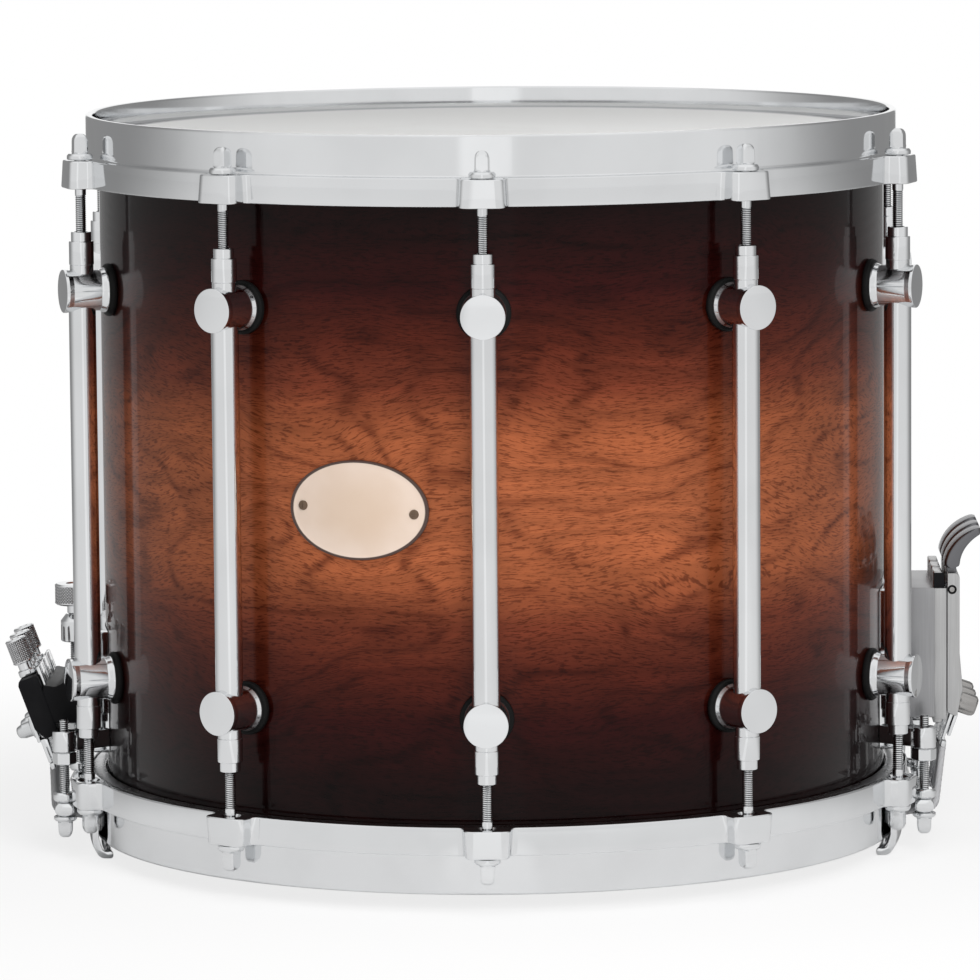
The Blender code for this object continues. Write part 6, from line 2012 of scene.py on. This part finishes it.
@dataclass(frozen=True)
class Studio:
    """The floor, the lamps, the white background and the photograph's camera."""

    distance: float = 2.85797
    height: float = 0.5061
    pitch: float = 6.906
    yaw: float = -0.0327
    roll: float = -0.46
    drum_turn: float = 1.158
    focal_pixels: float = 6348.5
    frame_pixels: float = 980.0
    sensor: float = 36.0

    def camera(self) -> None:
        """The camera of the photograph, in the drum's frame."""
        pitch, yaw, roll = (math.radians(v) for v in (self.pitch, self.yaw, self.roll))
        ahead = Vector((math.sin(yaw) * math.cos(pitch), math.cos(yaw) * math.cos(pitch), -math.sin(pitch)))
        right = Vector((math.cos(yaw), -math.sin(yaw), 0.0))
        up = right.cross(ahead)
        level_right = right * math.cos(roll) + up * math.sin(roll)
        level_up = up * math.cos(roll) - right * math.sin(roll)
        turn = Matrix((level_right, level_up, -ahead)).transposed().to_4x4()
        stand = Matrix.Translation((0.0, -self.distance, self.height)) @ turn
        data = bpy.data.cameras.new("camera")
        data.sensor_width = self.sensor
        data.lens = self.sensor * self.focal_pixels / self.frame_pixels
        data.clip_end = 50.0
        camera = bpy.data.objects.new("camera", data)
        bpy.context.scene.collection.objects.link(camera)
        camera.matrix_world = Matrix.Rotation(math.radians(self.drum_turn), 4, "Z") @ stand
        bpy.context.scene.camera = camera

    def lamp(self, name: str, azimuth: float, elevation: float, distance: float, size: float, power: float) -> None:
        """A soft square lamp that faces the drum and stays out of its reflections."""
        data = bpy.data.lights.new(name, "AREA")
        data.size = size
        data.energy = power
        lamp = bpy.data.objects.new(name, data)
        bpy.context.scene.collection.objects.link(lamp)
        turn, rise = math.radians(azimuth), math.radians(elevation)
        back = Vector((math.sin(turn) * math.cos(rise), -math.cos(turn) * math.cos(rise), math.sin(rise)))
        lamp.location = Vector((0.0, 0.0, 0.17)) + back * distance
        lamp.rotation_euler = back.to_track_quat("Z", "Y").to_euler()
        lamp.visible_glossy = False

    @staticmethod
    def room(graph: Graph, direction: Wire) -> Wire:
        """How bright the room is toward a level direction.

        Args:
            graph: the tree that asks.
            direction: a level direction.

        Returns:
            Bright in front around a narrow lamp, dim at the sides, white right behind.
        """
        x, y, _ = graph.split(graph.vector("NORMALIZE", direction))
        lamp = (1.0 - x.via("ABSOLUTE").ease(0.10, 0.16)) * (y < 0.0)
        dim = 0.83 - y.ease(-0.45, 0.60) * 0.55 + lamp * 0.17
        behind = y.ease(0.97, 0.99)
        return dim + (1.0 - dim) * behind

    def world(self) -> None:
        """White behind the drum, a soft room in its reflections and an even glow elsewhere."""
        world = bpy.data.worlds.new("studio")
        bpy.context.scene.world = world
        world.use_nodes = True
        world.node_tree.nodes.clear()
        graph = Graph(world.node_tree)
        place = graph.node("ShaderNodeTexCoord", output="Generated")
        x, y, z = graph.split(place)
        level = self.room(graph, graph.join(x, y, 0.0))
        above = z.ease(0.55, 0.9)
        room = level + (0.95 - level) * above
        path = graph.node("ShaderNodeLightPath", output="Is Camera Ray")
        mirrored = path.other("Is Glossy Ray").via("MAXIMUM", path.other("Is Transmission Ray"))
        strength = path + (1.0 - path) * (mirrored * room + (1.0 - mirrored) * (level * 0.12 + 0.03))
        background = graph.node("ShaderNodeBackground", sockets={"Color": grey(1.0), "Strength": strength})
        graph.node("ShaderNodeOutputWorld", sockets={"Surface": background})

    def floor(self) -> None:
        """A plain pale floor that keeps a soft shadow near the drum and meets the white beyond it."""
        floor = bpy.data.objects.new("floor", box((-12, -12, -0.02), (12, 12, -0.0005)).mesh("floor"))
        bpy.context.scene.collection.objects.link(floor)
        made = bpy.data.materials.new("pale_floor")
        made.use_nodes = True
        made.node_tree.nodes.clear()
        graph = Graph(made.node_tree)
        x, y, _ = graph.split(graph.node("ShaderNodeTexCoord", output="Object"))
        away = (x * x + y * y) ** 0.5
        lit = graph.node("ShaderNodeBsdfDiffuse", sockets={"Color": grey(0.92)})
        path = graph.node("ShaderNodeLightPath", output="Is Camera Ray")
        mirrored = path.other("Is Glossy Ray").via("MAXIMUM", path.other("Is Transmission Ray"))
        far = away.ease(0.6, 1.6)
        level = self.room(graph, graph.join(x, y, 0.0))
        bounce = far * level + (1.0 - far) * (level * 0.75 + 0.18)
        glow = path + (1.0 - path) * bounce
        white = graph.node("ShaderNodeEmission", sockets={"Color": grey(1.0), "Strength": glow})
        seen = 0.80 + away.ease(0.24, 0.62) * 0.20
        share = path * seen + mirrored * away.ease(0.16, 0.30) * 0.95
        shader = graph.node("ShaderNodeMixShader", sockets={0: share, 1: lit, 2: white})
        graph.node("ShaderNodeOutputMaterial", sockets={"Surface": shader})
        floor.data.materials.append(made)

    def build(self) -> None:
        """Sets up the whole studio."""
        bpy.context.scene.view_settings.view_transform = "Standard"
        self.camera()
        self.world()
        self.floor()
        self.lamp("key_lamp", 17.0, 20.0, 1.3, 0.6, 13.4)
        self.lamp("top_lamp", 0.0, 78.0, 1.8, 1.6, 18.0)


def dress_carried_over() -> None:
    """Gives the CAD nodes that still show their finishes."""
    finishes = {
        "strainer_bracket": BLACK_CAST, "strainer_housing": BRUSHED_HOUSING, "strainer_slider": SATIN_LEVER,
        "strainer_handle": DARK_PADDLE, "butt_carriage": BLACK_CAST, "snare_set": GREY_CABLE,
    }
    for name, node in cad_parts.items():
        if node.hide_render:
            continue
        finish = next((f for prefix, f in finishes.items() if name.startswith(prefix)), CHROME)
        node.data.materials.clear()
        node.data.materials.append(finish.material())


def main() -> None:
    """Builds the drum's pieces in order, then the studio."""
    logging.basicConfig(level=logging.INFO, format="%(name)s %(message)s")
    levels = Levels.of_frame()
    ring = ring_growth()
    thread = ridged_growth(crossed=False)
    Shell(levels).build()
    Hoop(levels, "batter_hoop").build(ring)
    Hoop(levels, "snare_hoop", snare_side=True).build(ring)
    Heads(levels).build()
    Lugs(levels).build(ring)
    TensionRods(levels).build(thread)
    Badge(levels).build()
    places = Places.of_frame(levels)
    knurl = ridged_growth(crossed=True)
    Bracket(places, Side.STRAINER, places.housing_top).build()
    Bracket(places, Side.BUTT, 0.1013).build()
    Bridge(places).build(thread)
    Strainer(places).build()
    Butt(places).build(knurl, thread)
    Snares(places).build(cable_growth())
    dress_carried_over()
    Studio().build()


if __name__ == "__main__":
    main()
